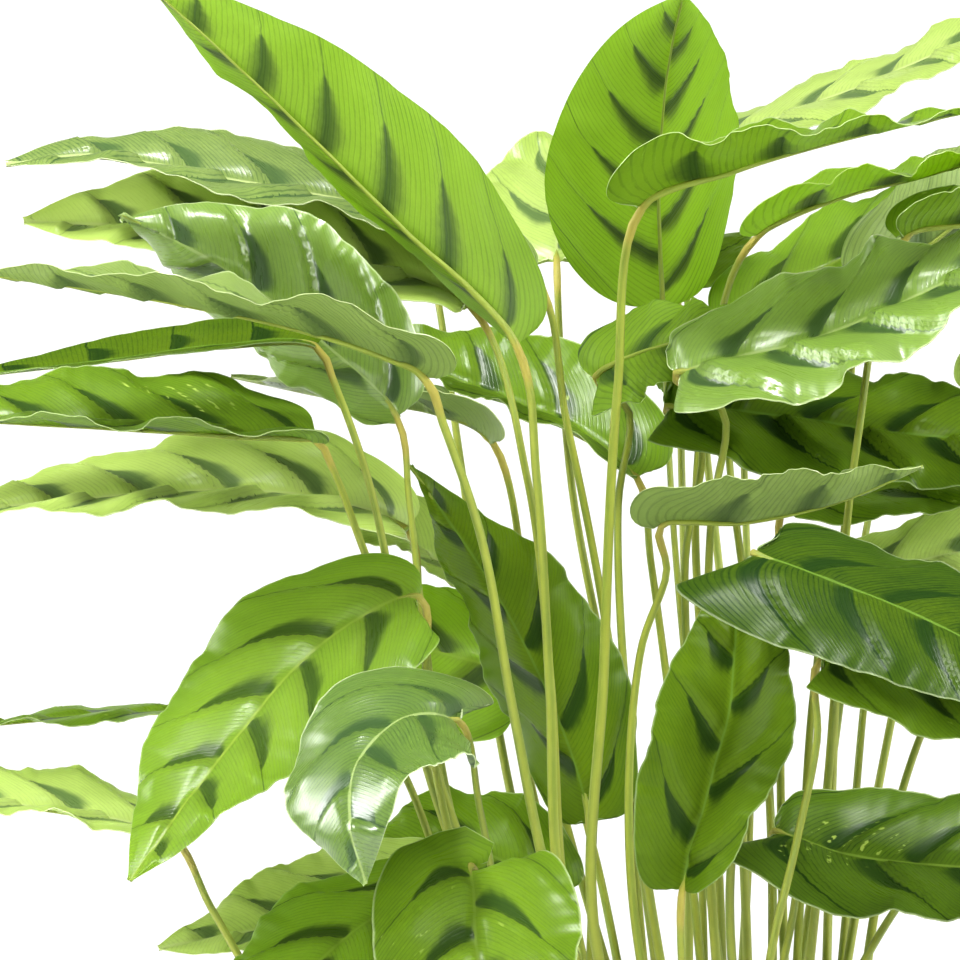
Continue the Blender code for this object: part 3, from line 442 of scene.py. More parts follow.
def quilting(steps, out, s):
    """How far the blade stands up between its creases, as a share of the quilting's depth."""
    f = steps - np.floor(steps)
    rise = np.clip(f / CREASE_SHARE, 0, 1)
    bulge = rise**2 * (3 - 2 * rise) * (1 - f)**BULGE_FALL
    reach = np.clip(out / FLAT_AT_RIB, 0, 1) * np.clip((1.02 - out) / FLAT_AT_MARGIN, 0, 1)
    ends = np.clip(s / FLAT_AT_BASE, 0, 1) * np.clip((1 - s) / FLAT_AT_TIP, 0, 1)
    return bulge * reach * ends


# %% [markdown]
# ## One leaf's mesh
# A blade is a thin closed skin with an upper and a lower face, and its petiole runs on under it as the
# midrib, thinning to the tip. A flat card with a picture on it would have no thickness and no crease,
# so both faces and the midrib are real here. Three UV layers carry what the colours need: where a
# point lies among the veins, where it lies on the blade, and which leaf it belongs to.

# %% Mesh helpers
def grid_faces(first, rows, columns, flip=False):
    """Squares between neighbouring rows of corners, as an array of corner numbers."""
    a = first + (np.arange(rows - 1)[:, None] * columns + np.arange(columns - 1)).ravel()
    quads = np.stack([a, a + 1, a + 1 + columns, a + columns], axis=1)
    return quads[:, ::-1] if flip else quads


def surface_normals(grid):
    return unit(np.cross(np.gradient(grid, axis=1), np.gradient(grid, axis=0)))


def put_in_scene(name, data):
    made = bpy.data.objects.new(name, data)
    bpy.context.scene.collection.objects.link(made)
    return made


def new_piece(name, corners, faces, materials, slots, layers):
    """A mesh object in metres from corners in millimetres, with its UV layers as face corners' pairs."""
    mesh = bpy.data.meshes.new(name)
    mesh.from_pydata((corners * MM).tolist(), [], faces)
    for material in materials:
        mesh.materials.append(material)
    mesh.polygons.foreach_set("material_index", np.asarray(slots, np.int32))
    mesh.polygons.foreach_set("use_smooth", np.ones(len(faces), bool))
    for layer, pairs in layers.items():
        mesh.uv_layers.new(name=layer).data.foreach_set("uv", np.asarray(pairs, np.float32).ravel())
    mesh.update()
    return put_in_scene(name, mesh)


# %% [markdown]
# ## The blade's skin
# The blade's middle surface comes from the same rule as the solid's. The quilting and a fine frill of
# the margin move it along its own normal, which keeps the outline. Smooth shading with thousands of
# small squares looks rounder than a subdivided coarse mesh, which would also shrink at the margins.

# %% The blade's skin
RINGS, COLUMNS, STEM_SIDES, STEM_STEPS = ((98, 26, 12, 56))
PLAIN_RINGS, QUILT_RINGS = 0.8, 0.3
BLADE_START, BLADE_END = 0.0015, 0.998
EVEN, EASED = 0.7, 0.3
COLUMN_SPREAD = 0.86
QUILT_DEPTH, QUILT_MIDDLE, FULL_QUILT_WIDTH = 3.8, 0.35, 26
FRILL_DEPTH, FRILL_TURNS = 1.3, (5, 8, 13, 21)
rng = np.random.default_rng(7)


def blade_grid(row):
    """Shares of the blade's length and half width for its corners, closer at the ends and margins."""
    even = np.linspace(0, 1, int(RINGS * (PLAIN_RINGS + QUILT_RINGS * row["quilt"])))
    at = EVEN * even + EASED * (1 - np.cos(math.pi * even)) / 2
    s = BLADE_START + (BLADE_END - BLADE_START) * at
    across = np.sin(np.linspace(-1, 1, COLUMNS + 1) * math.pi / 2 * COLUMN_SPREAD)
    return s, across / math.sin(math.pi / 2 * COLUMN_SPREAD)


def blade_skin(row, s, across, steps):
    """The blade's middle surface with its quilting and frill."""
    middle = blade_surface(row, s, across)
    raised = np.stack([quilting(steps[int(t > 0)][:, j], abs(t), s) for j, t in enumerate(across)], axis=1)
    frill = np.zeros_like(raised)
    for k, (turns, phase) in enumerate(zip(FRILL_TURNS, rng.uniform(0, math.tau, 4))):
        frill += np.sin(math.tau * turns * s[:, None] + phase + 2 * np.sign(across)) / (k + 1.5)
    frill *= FRILL_DEPTH * row["frill"] * np.abs(across)**3 * np.sin(math.pi * s[:, None])
    depth = row["quilt"] * QUILT_DEPTH * min(1, row["half"] / FULL_QUILT_WIDTH)
    return middle + surface_normals(middle) * (depth * (raised - QUILT_MIDDLE) + frill)[:, :, None]


# %% [markdown]
# ## Petiole and midrib
# Both are one tube of rings along the leaf's centre line, with the pulvinus as a small swell under the
# blade. The solid's petiole has six flat sides, and the round one is drawn thin enough to lie inside
# them. Under the blade the tube follows the quilted skin, sunk into it so that only a ridge shows. A
# bevelled curve could be the petiole, but it couldn't carry the distances that its colours need.

# %% Petiole and midrib
PULVINUS_LENGTH, PULVINUS_SWELL = 12, 0.12
INSIDE_SIX_SIDES = 0.88
SUNK_IN_SOIL = 12
RIB_THINNING, RIB_SHOWS = 2.6, 0.15
SINKS_BY, SINK_EASE, ON_SKIN_BY = 0.1, 0.7, 0.03
FIRST_SIDE = (0.3, 0.9, 0.2)


def tube(path, stations, radii, shift):
    """Rings of corners round a path, with the ring's first corner carried along smoothly."""
    side = unit(np.cross(FIRST_SIDE, path.direction(np.array([0.0]))[0]))
    angles = np.linspace(0, math.tau, STEM_SIDES + 1)
    rings = []
    for along, centre, radius in zip(path.direction(stations), path.point(stations) + shift, radii):
        side = unit(side - along * np.dot(side, along))
        up = np.cross(side, along)
        rings.append(centre + radius * (np.cos(angles)[:, None] * side + np.sin(angles)[:, None] * up))
    return np.array(rings)


def stem_rings(row, s, middle):
    """The rings from under the soil to the blade's tip, and their distances from the blade's base."""
    path, base = leaf_path(row)
    below = np.linspace(0, base, STEM_STEPS, endpoint=False)
    knuckle = np.exp(-((below - (base - PULVINUS_LENGTH / 2)) / (PULVINUS_LENGTH / 2))**4)
    petiole = STEM_RADIUS_AT_ROOT + (STEM_RADIUS_AT_BLADE - STEM_RADIUS_AT_ROOT) * below / base
    petiole = petiole * (1 + PULVINUS_SWELL * knuckle) * row["stem_size"]
    thinned = (STEM_RADIUS_AT_BLADE * row["stem_size"] - RIB_RADIUS_AT_TIP) * (1 - s)**RIB_THINNING
    rib = RIB_RADIUS_AT_TIP + thinned
    rib_at = base + s * (path.lengths[-1] - base)
    stations = np.concatenate([below, rib_at])
    outward = surface_normals(middle)[:, COLUMNS // 2] * (1 if row["shows"] == "under" else -1)
    shift = np.zeros((len(stations), 3))
    sink = np.clip(s / SINKS_BY, 0, 1)**SINK_EASE * (rib - RIB_SHOWS)
    to_skin = middle[:, COLUMNS // 2] - path.point(rib_at)
    shift[STEM_STEPS:] = outward * sink[:, None]
    shift[STEM_STEPS:] += to_skin * np.clip(s / ON_SKIN_BY, 0, 1)[:, None]
    rings = tube(path, stations, np.concatenate([petiole, rib]) * INSIDE_SIX_SIDES, shift)
    return (np.concatenate([rings[:1] - [0, 0, SUNK_IN_SOIL], rings]),
            np.concatenate([[-base - SUNK_IN_SOIL], stations - base]))


# %% [markdown]
# ## Blade and petiole together
# The skin's two faces stand a little off its middle surface and are closed by a narrow band along the
# margin. The parts share one mesh, as they are one grown leaf. They could be joined from separate
# objects, but one list of corners needs no joining.

# %% Build a leaf
def leaf_layers(index, row, s, across, steps, faces, on_blade, on_skin, stem_at):
    """What the colours need at each corner of each face; shares, and lengths in tenths of a metre."""
    flat = faces[:on_blade] % (len(s) * len(across))
    # Each face's corners take the vein count of their own half, so that the midrib parts the halves
    left = np.tile(np.arange(COLUMNS) < COLUMNS // 2, 2 * (len(s) - 1))
    width = (row["half"] * half_width(s, row["wide"])[:, None] * across).ravel()[flat]
    veins, blade, own = np.zeros((3, len(faces), 4, 2))
    veins[:on_blade, :, 0] = np.where(left[:, None], steps[0].ravel()[flat], steps[1].ravel()[flat])
    veins[:on_blade, :, 1] = np.tile(np.abs(across), len(s))[flat]
    veins[on_blade:on_skin, :, 1] = 1
    round_stem = faces[on_skin:] - faces[on_skin:].min()
    veins[on_skin:, :, 0] = np.repeat(stem_at, STEM_SIDES + 1)[round_stem] / 100
    veins[on_skin:, :, 1] = np.tile(np.linspace(0, 1, STEM_SIDES + 1), len(stem_at))[round_stem]
    blade[:on_blade, :, 0], blade[:on_blade, :, 1] = np.repeat(s, len(across))[flat], width / 100
    blade[on_blade:on_skin, :, 0] = 0.5
    own[:, :, 0], own[:, :, 1] = index * 1.7, row["tone"]
    return {"veins": veins, "blade": blade, "own": own}


def leaf_piece(index, row, materials):
    path, base = leaf_path(row)
    s, across = blade_grid(row)
    rings, wide, out = len(s), COLUMNS + 1, np.abs(across)
    length = path.lengths[-1] - base
    steps = [np.stack([vein_steps(row, s, t, side, length) for t in out], axis=1) for side in (0, 1)]
    middle = blade_skin(row, s, across, steps)
    half = (MARGIN_THICKNESS + (BLADE_THICKNESS - MARGIN_THICKNESS) * (1 - out**3)) / 2
    offset = surface_normals(middle) * half[None, :, None]
    sheets = [(middle + offset).reshape(-1, 3), (middle - offset).reshape(-1, 3)]
    edge = np.concatenate([np.arange(wide), np.arange(1, rings) * wide + wide - 1,
                           (rings - 1) * wide + np.arange(wide - 2, -1, -1),
                           np.arange(rings - 2, -1, -1) * wide])
    stem, stem_at = stem_rings(row, s, middle)
    corners = np.concatenate([*sheets, *(sheet[edge] for sheet in sheets), stem.reshape(-1, 3)])
    skin = 2 * rings * wide
    parts = [grid_faces(0, rings, wide, flip=True), grid_faces(rings * wide, rings, wide),
             grid_faces(skin, 2, len(edge)),
             grid_faces(skin + 2 * len(edge), len(stem), STEM_SIDES + 1)]
    sizes = [len(part) for part in parts]
    faces = np.concatenate(parts)
    front = int(row["shows"] == "under")
    slots = np.repeat([front, 1 - front, 0, 2], sizes)
    layers = leaf_layers(index, row, s, across, steps, faces, sum(sizes[:2]), sum(sizes[:3]), stem_at)
    piece = new_piece(row["name"] + "_dressed", corners, faces.tolist(), materials, slots, layers)
    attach(piece, "root")
    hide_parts(row["name"])
    return piece


# %% [markdown]
# ## Sums of sockets
# A leaf's pattern is a formula of the vein count and the distance from the midrib. Wiring it by hand
# would take a hundred small nodes a leaf, so this class lets a formula be typed as a formula: each
# operator adds one Math node. Everything that isn't a sum goes through the one method that adds a node.

# %% Shader maths
def linear(code):
    """A screen colour such as 7fb51c as the linear colour that a shader wants."""
    values = [int(code[i:i + 2], 16) / 255 for i in (0, 2, 4)]
    return (*[v / 12.92 if v <= 0.04045 else ((v + 0.055) / 1.055)**2.4 for v in values], 1.0)


def both_ways(operation):
    """An operator with the wire before it, and its reflected form with the wire behind it."""
    return (lambda wire, other: wire.math(operation, wire, other),
            lambda wire, other: wire.math(operation, other, wire))


class Wire:
    """One output socket in a node tree; sums of wires add Math nodes."""

    __add__, __radd__ = both_ways("ADD")
    __sub__, __rsub__ = both_ways("SUBTRACT")
    __mul__, __rmul__ = both_ways("MULTIPLY")
    __truediv__, __rtruediv__ = both_ways("DIVIDE")
    __pow__, __rpow__ = both_ways("POWER")

    def __init__(self, tree, socket=None):
        self.tree, self.socket = tree, socket

    def node(self, kind, settings=None, inputs=None, output=0):
        """Add a node: its settings first, then numbers or wires for its sockets."""
        made = self.tree.nodes.new(kind)
        for name, value in (settings or {}).items():
            setattr(made, name, value)
        for name, value in (inputs or {}).items():
            if isinstance(value, Wire):
                self.tree.links.new(value.socket, made.inputs[name])
            else:
                made.inputs[name].default_value = value
        return Wire(self.tree, made.outputs[output]) if made.outputs else None

    def math(self, operation, *values, clamp=False):
        settings = {"operation": operation, "use_clamp": clamp}
        return self.node("ShaderNodeMath", settings, dict(enumerate(values)))

    def fract(self):
        return self.math("FRACT", self)

    def size(self):
        return self.math("ABSOLUTE", self)

    def sine(self):
        return self.math("SINE", self)

    def clamped(self):
        return self.math("ADD", self, 0.0, clamp=True)

    def ramp(self, low, high):
        """0 below low, 1 above high, and a soft S between; low may be the greater one."""
        return self.node("ShaderNodeMapRange", {"interpolation_type": "SMOOTHSTEP"},
                         {"Value": self, "From Min": low, "From Max": high})

    def mix(self, a, b):
        """Colour a where this wire is 0 and colour b where it is 1."""
        a, b = (linear(colour) if isinstance(colour, str) else colour for colour in (a, b))
        return self.node("ShaderNodeMix", {"data_type": "RGBA"}, {0: self, 6: a, 7: b}, 2)

    def vector(self, x, y, z=0.0):
        return self.node("ShaderNodeCombineXYZ", None, {0: x, 1: y, 2: z})

    def split(self):
        """The numbers of a vector."""
        outputs = self.node("ShaderNodeSeparateXYZ", None, {0: self}).socket.node.outputs
        return [Wire(self.tree, output) for output in outputs]

    def uv(self, layer):
        """The two numbers of a UV layer."""
        return self.node("ShaderNodeUVMap", {"uv_map": layer}).split()[:2]

    def place(self):
        """Where a point lies on its object."""
        return self.node("ShaderNodeTexCoord", output=3)

    def noise(self, vector, scale, detail=2.0):
        return self.node("ShaderNodeTexNoise", {"noise_dimensions": "3D"},
                         {"Vector": vector, "Scale": scale, "Detail": detail})

    def surface(self, colour, rough, height, strength, distance, gloss=0.5):
        """A surface in a colour, with a bump from a height."""
        bump = self.node("ShaderNodeBump", None,
                         {"Strength": strength, "Distance": distance, "Height": height})
        return self.node("ShaderNodeBsdfPrincipled", None, {
            "Base Color": colour, "Roughness": rough, "Normal": bump, "Specular IOR Level": gloss})

    def backlit(self, surface, glow, share):
        """The same surface, with a share of it passing light from behind in a colour of its own."""
        passing = self.node("ShaderNodeBsdfTranslucent", None, {"Color": linear(glow)})
        return self.node("ShaderNodeMixShader", None, {0: share, 1: surface, 2: passing})


def new_material(name, paint, *choices):
    """A material whose surface is what the function paint wires up."""
    material = bpy.data.materials.new(name)
    material.use_nodes = True
    material.node_tree.nodes.clear()
    wire = Wire(material.node_tree)
    wire.node("ShaderNodeOutputMaterial", None, {"Surface": paint(wire, *choices)})
    return material


# %% [markdown]
# ## A leaf's blotches
# On the plant a blotch lies on the base side of each crease, wide near the midrib and running out to a
# point about halfway to the margin. So it is a lens whose thickness is a formula of the distance from
# the midrib. Seen from below it lies across the vein and is blurred. A stained picture could show this
# too, but would blur close up and repeat on every leaf.

# %% Blotches
BLOTCH_REACH = 0.66
LENS_TOP = dict(power=0.6, fullness=2.6, width=0.28, centre=0.5, sharp=0.4)
LENS_UNDER = dict(power=0.35, fullness=2.0, width=0.4, centre=0.1, sharp=0.1)


def blotches(wire, steps, out, along, number, place, under):
    """How far past its crease a point lies, in steps, and 1 inside a blotch."""
    lens = LENS_UNDER if under else LENS_TOP
    wander = wire.noise(place, 1.3) - 0.5
    edge_wander = wire.noise(wire.vector(steps * 3.0, out * 9.0, number), 1.5, 1.0) - 0.5
    past = (1.3 - (steps + wander * 0.08).fract()).fract() - 0.3
    x = (out / BLOTCH_REACH).clamped()
    ends = along.ramp(0.0, 0.1) * along.ramp(1.0, 0.84)
    thick = x**lens["power"] * (1.0 - x) * lens["fullness"] * ends * (wander * 0.25 + lens["width"])
    apart = (past + edge_wander * 0.05 - thick * lens["centre"]).size() / (thick * 0.5 + 0.001)
    inside = apart.ramp(2.1, lens["sharp"]) * thick.ramp(0.0, 0.08)
    return past, inside if under else inside * past.ramp(-0.05, 0.0)


# %% [markdown]
# ## A leaf's two faces
# The dark vein goes on alone where its blotch ends, and between two of them fine veins run side by
# side. That dark line at each crease is partly the vein's own colour and partly painted shade in the
# crease. A pale line along the upper face's margin is a painted highlight, and the lower face has a dark
# line there. Light from behind passes the green panels easily and the blotches hardly, so the same
# pattern that paints the blotches also decides how much light goes through. Some mid green leaves
# were grazed by insects, which left short pale marks between the fine veins. All of it could be one
# material with many inputs, but two plain ones a look, for the upper and the lower face, are easier to
# follow. The numbers were set one by one.

# %% Leaf materials
LOOK_VALUES = ("panel", "far", "blotch", "rib", "glow", "through", "gloss", "edge")
# The pale and bright looks are lighter copies of the leaf's colours, partly painted light: they stand for
# leaves in strong light, lit from behind or in the haze at the back.
LOOKS = {look: dict(zip(LOOK_VALUES, values)) for look, *values in (
    ("bright", "88a242", "7a9836", "2c4218", "a0b44e", "bddb3c", 0.5, 0.35, 0.2),
    ("mid", "789430", "6a8628", "274018", "8ca648", "bddb3c", 0.34, 0.3, 0.35),
    ("dark", "667e1e", "58721c", "1f3614", "6d8c3c", "a8d028", 0.22, 0.1, 0.2),
    ("glossy", "7a9640", "84a04e", "2f4826", "a4b676", "b4d050", 0.22, 0.85, 0.4),
    ("sage", "7c9050", "849856", "42562e", "9caa68", "b4cc60", 0.22, 0.45, 0.3),
    ("pale", "b8cc78", "a6bc62", "445c34", "c0cc90", "bccf74", 0.38, 0.45, 0.5))}
# The first colour is a painted highlight along the upper face's margin, the second the colour of insect
# grazing marks.
EDGE_HIGHLIGHT, GRAZED = "dfe8c0", "b4c862"
FINE_VEINS_TOP, FINE_VEINS_UNDER = 17.0, 12.0


def paint_leaf(wire, look, under):
    tones = LOOKS[look]
    (steps, out), (along, away), (number, tone) = map(wire.uv, ("veins", "blade", "own"))
    place = wire.vector(steps, out * 2.4, number)
    cloud = wire.noise(place, 0.8)
    streak = wire.noise(wire.vector(steps * 34.0, out * 5.0, number), 1.0, 1.0)
    cell = wire.noise(wire.vector(steps * 30.0, away * 90.0, number), 1.2, 1.0)
    past, blotch = blotches(wire, steps, out, along, number, place, under)
    # A dark line at each crease: partly the vein's own colour, partly painted shade in the crease.
    vein_and_crease_shade = past.size().ramp(0.022, 0.004) * out.ramp(0.03, 0.12)
    stripe = (steps * (FINE_VEINS_UNDER if under else FINE_VEINS_TOP) + streak * 0.5).fract()
    fine = (stripe - 0.5).size().ramp(0.22, 0.04) * out.ramp(0.0, 0.06)
    rib = away.size().ramp(0.007, 0.003)
    margin = out.ramp(0.972, 0.992)

    fade = (out.ramp(0.2, 1.0) * 0.5 + (cloud - 0.5) * 1.3 + 0.25).clamped()
    # The leaf's tone with random streaks and clouds; the tone is partly painted light, lighter for a leaf in
    # shade and darker for one that glares.
    shade = (streak - 0.5) * 0.45 + (cell - 0.5) * 0.4 + tone + (cloud - 0.5) * 0.35
    # Fine veins and the crease line, which is partly painted shade.
    veins = fine * (0.3 if under else 0.2) * (0.5 + cloud) + vein_and_crease_shade * 0.55
    deep = (veins + shade * 0.6 + 0.08).clamped()
    colour = deep.mix(fade.mix(tones["panel"], tones["far"]), tones["blotch"])
    colour = (blotch * 0.9).mix(colour, tones["blotch"])
    colour = (rib * 0.6).mix(colour, tones["rib"])
    if look == "mid" and not under:
        nibble = wire.noise(wire.vector(steps * 14.0, away * 45.0, number), 1.2, 1.0)
        dash = ((steps * 5.0 + out * 1.5).fract() - 0.5).size().ramp(0.15, 0.06)
        grazed = cloud.ramp(0.6, 0.64) * nibble.ramp(0.56, 0.64) * dash
        colour = (grazed * 0.7).mix(colour, GRAZED)
    # A line along the margin: on the upper face a painted highlight, on the lower face the blotch colour.
    colour = (margin * tones["edge"]).mix(colour, tones["blotch"] if under else EDGE_HIGHLIGHT)

    rough = (0.5 if under else 0.3) + (streak - 0.5) * 0.12 + (cloud - 0.5) * 0.12
    surface = wire.surface(colour, rough, fine * -0.5 + streak * 0.45, 0.5 if under else 0.16, 0.0004,
                           gloss=tones["gloss"] * (0.6 if under else 1.0))
    return wire.backlit(surface, tones["glow"],
                        (1.0 - blotch * 0.82) * (1.0 - deep * 0.7) * tones["through"])


leaf_faces = {look: [new_material(f"leaf_{look}_{side}", paint_leaf, look, side == "under")
                     for side in ("top", "under")] for look in LOOKS}
print("leaf materials:", sorted(m.name for pair in leaf_faces.values() for m in pair))

# %% [markdown]
# ## Petiole, pulvinus and midrib
# The stalk is yellow green with fine lengthwise lines, and paler near the soil. The pulvinus, which
# turns the blade to the light, is a smooth ochre knuckle. One material reads the distance from the
# blade's base, so all three follow each other without a seam.

# %% Stalk material
LINES_ROUND_STALK = 3
STALK, STALK_SHADE, STALK_FOOT = "9aa244", "5c7428", "9ea45a"
KNUCKLE, MIDRIB, STALK_GLOW = "b49a50", "8a9c40", "d0d478"


def paint_stalk(wire):
    (length, around), (number, _) = map(wire.uv, ("veins", "own"))
    line = (around * (math.tau * LINES_ROUND_STALK) + length * 0.8 + number).sine() * 0.5 + 0.5
    fibre = wire.noise(wire.vector(length * 6.0, (around * math.tau).sine() * 14.0, number), 2.2, 3.0)
    cloud = wire.noise(wire.vector(length * 1.5, number), 1.6)
    green = (line * 0.5 + (fibre - 0.5) * 0.8 + (cloud - 0.5) * 0.7 + 0.1).clamped()
    colour = (length.ramp(-1.4, -3.2) * 0.4).mix(green.mix(STALK, STALK_SHADE), STALK_FOOT)
    colour = ((length + 0.06).size().ramp(0.11, 0.04) * 0.5).mix(colour, KNUCKLE)
    colour = (length.ramp(0.0, 0.2) * 0.6).mix(colour, MIDRIB)
    surface = wire.surface(colour, 0.42 + (fibre - 0.5) * 0.2, fibre + line * 0.4, 0.35, 0.0004)
    return wire.backlit(surface, STALK_GLOW, (1.0 - green) * 0.2 + 0.05)


stalk = new_material("stalk", paint_stalk)
print("stalk material:", len(stalk.node_tree.nodes), "nodes")

# %% [markdown]
# ## Dressing all the leaves
# Leaves of one plant differ: those against the light glow, some stand glossy in it, and those showing
# their undersides are often a dull sage. Each leaf takes the look of its row, whose pale and bright
# looks and tone are partly painted light, and a small further shift in tone. That shift could be
# typed in as well, but chance is enough for what nobody would notice.

# %% Dress the leaves
dressed = []
for index, row in enumerate(LEAVES):
    row["tone"] += float(rng.uniform(-0.05, 0.05))
    dressed.append(leaf_piece(index, row, [*leaf_faces[row["look"]], stalk]))
triangles = sum(2 * len(piece.data.polygons) for piece in dressed)
print("leaves dressed:", len(dressed), "with", triangles, "triangles")

# %% [markdown]
# ## The pot
# A plain nursery pot is moulded: tapered, thin, with a rim band that stiffens it and holes in its
# floor. Spinning a profile is how a turned or moulded round thing is best drawn. The finer profile
# here adds the small rounds at the rim and foot that catch the light.

# %% The pot's shape
POT_SPIN = 160
ROUND_STEPS = 5
HOLE_SIDES = 40


def pot_radius(height):
    """The pot's outer radius at a height, without its rim."""
    return POT_FOOT_RADIUS + (POT_TOP_RADIUS - POT_FOOT_RADIUS) * height / POT_HEIGHT


def rounded(corner, before, after, radius):
    """A few points that round one corner of a profile."""
    corner, before, after = (np.array(p, float) for p in (corner, before, after))
    start = corner + unit(before - corner) * radius
    end = corner + unit(after - corner) * radius
    u = np.linspace(0, 1, ROUND_STEPS)[:, None]
    return ((1 - u)**2 * start + 2 * u * (1 - u) * corner + u**2 * end).tolist()


def pot_profile():
    """The profile's corners as radius, height and rounding, from the foot's middle to the floor's."""
    rim = POT_HEIGHT - POT_RIM_HEIGHT
    floor = 2 * POT_WALL
    points = [(0, 0, 0), (POT_FOOT_RADIUS, 0, 2.0), (pot_radius(rim), rim, 0.6),
              (pot_radius(rim) + POT_RIM_PROUD, rim + 1, 0.7),
              (POT_TOP_RADIUS + POT_RIM_PROUD, POT_HEIGHT, 1.1),
              (POT_TOP_RADIUS - POT_WALL, POT_HEIGHT, 0.9), (pot_radius(floor) - POT_WALL, floor, 2.0),
              (0, floor, 0)]
    profile = [points[0][:2]]
    for before, corner, after in zip(points, points[1:], points[2:]):
        profile += rounded(corner[:2], before[:2], after[:2], corner[2])
    return profile + [points[-1][:2]]


def as_mesh(name, shape):
    mesh = bpy.data.meshes.new(name)
    shape.to_mesh(mesh)
    shape.free()
    return mesh


def spun_pot():
    shape = bmesh.new()
    line = [shape.verts.new((radius * MM, 0, height * MM)) for radius, height in pot_profile()]
    edges = [shape.edges.new(pair) for pair in zip(line, line[1:])]
    bmesh.ops.spin(shape, geom=line + edges, cent=(0, 0, 0), axis=(0, 0, 1),
                   angle=math.tau, steps=POT_SPIN, use_merge=True)
    bmesh.ops.remove_doubles(shape, verts=shape.verts, dist=0.02 * MM)
    bmesh.ops.recalc_face_normals(shape, faces=shape.faces)
    return as_mesh("pot_dressed", shape)


def drain_cutters():
    shape = bmesh.new()
    radius = DRAIN_HOLE_RADIUS * MM
    for i in range(DRAIN_HOLES):
        angle = math.tau * i / DRAIN_HOLES
        made = bmesh.ops.create_cone(shape, cap_ends=True, segments=HOLE_SIDES, radius1=radius,
                                     radius2=radius, depth=6 * POT_WALL * MM)
        bmesh.ops.translate(shape, verts=made["verts"],
                            vec=(DRAIN_RING_RADIUS * MM * math.cos(angle),
                                 DRAIN_RING_RADIUS * MM * math.sin(angle), POT_WALL * MM))
    return as_mesh("drain_cutters", shape)


# %% [markdown]
# ## The pot's surface
# Moulded plastic is even, with a fine grain and, after some use, upright scuffs on its side. All three
# are noise in the pot's own space, the scuffs stretched in height. A painted picture would show its
# seam somewhere round the pot. The drain holes are cut last, because the spun profile can't have them.

# %% Make the pot
SMOOTH_BELOW = 40


def paint_plastic(wire):
    place = wire.place()
    grain = wire.noise(place, 900.0)
    cloud = wire.noise(place, 14.0, 4.0)
    upright = wire.node("ShaderNodeMapping", None, {"Vector": place, "Scale": (60.0, 60.0, 5.0)})
    scuff = wire.noise(upright, 1.0, 3.0).ramp(0.56, 0.74)
    colour = ((cloud - 0.5) * 1.4 + 0.5).clamped().mix("8f8c84", "9b978f")
    colour = (scuff * 0.3).mix(colour, "b3b0a8")
    return wire.surface(colour, 0.44 + scuff * 0.16 + (grain - 0.5) * 0.1, grain, 0.25, 0.0003)


def make_pot():
    pot = put_in_scene("pot_dressed", spun_pot())
    cutter = put_in_scene("drain_cutters", drain_cutters())
    cut = pot.modifiers.new("holes", "BOOLEAN")
    cut.operation, cut.object, cut.solver = "DIFFERENCE", cutter, "EXACT"
    shown = pot.evaluated_get(bpy.context.evaluated_depsgraph_get())
    mesh = bpy.data.meshes.new_from_object(shown)
    pot.modifiers.clear()
    pot.data = mesh
    bpy.data.objects.remove(cutter)
    mesh.materials.clear()
    mesh.materials.append(new_material("moulded_plastic", paint_plastic))
    mesh.shade_smooth()
    mesh.set_sharp_from_angle(angle=math.radians(SMOOTH_BELOW))
    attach(pot, "root")
    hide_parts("pot")
    return pot


print("pot:", len(make_pot().data.polygons), "faces")

# %% [markdown]
# ## The soil
# Potting soil is peat with bits of bark and a few pale grains. The surface is lumpy at three sizes:
# gentle heaps, clods, and crumbs. The heaps and clods are moved corners of a fine disc, and the
# crumbs are small uneven stones pressed into it. Particles would scatter crumbs with less code, but
# they aren't real faces, and a mesh taken from the scene would lose them.

# %% The soil's height
SOIL_RINGS, SOIL_SPOKES, CRUMBS = ((110, 260, 950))
LUMPS = ((1.1, 46, 3), (0.75, 13, 4), (0.4, 5.5, 5), (0.22, 2.4, 6))
EDGE_SINK, EDGE_POWER = 1.5, 14


def waves(x, y, size, seed):
    """A cheap smooth roughness from a few crossing waves, about -1 to 1."""
    source = np.random.default_rng(seed)
    total = np.zeros_like(x)
    for _ in range(7):
        angle, phase = source.uniform(0, math.tau, 2)
        turns = source.uniform(0.6, 1.5) / size * math.tau
        total += np.sin(turns * (x * math.cos(angle) + y * math.sin(angle)) + phase
                        + 1.3 * np.sin(turns * 0.7 * (y * math.cos(angle) - x * math.sin(angle)) + angle))
    return total / 4


def soil_height(x, y):
    return SOIL_TOP + sum(height * waves(x, y, size, seed) for height, size, seed in LUMPS)


def soil_disc(reach):
    """The uneven top, the side and the bottom as rings of corners from the middle outwards."""
    angles = np.linspace(0, math.tau, SOIL_SPOKES + 1)
    radii = (reach * np.linspace(0, 1, SOIL_RINGS)**0.8)[:, None]
    x, y = radii * np.cos(angles), radii * np.sin(angles)
    rings = [*np.stack([x, y, soil_height(x, y) - EDGE_SINK * (radii / reach)**EDGE_POWER], axis=-1)]
    for r in (pot_radius(SOIL_BOTTOM) - POT_WALL - SOIL_GAP, 0.01):
        low = np.full_like(angles, SOIL_BOTTOM)
        rings.append(np.stack([r * np.cos(angles), r * np.sin(angles), low], axis=-1))
    return np.concatenate(rings)


# %% [markdown]
# ## Crumbs
# A crumb is a round stone of eighty small faces, made lumpy, stretched, turned and tipped by chance,
# and pressed a little into the soil where it lies. One in fourteen is a pale mineral grain. A single
# stone repeated would be quicker to make, but crumbs that are all alike look like beads.

# %% Make the soil
CRUMB_SIZES, CRUMB_SHARES = (0.8, 1.2, 2.0), (0.5, 0.38, 0.12)
PALE_SHARE = 0.07
OFF_THE_WALL = 0.96


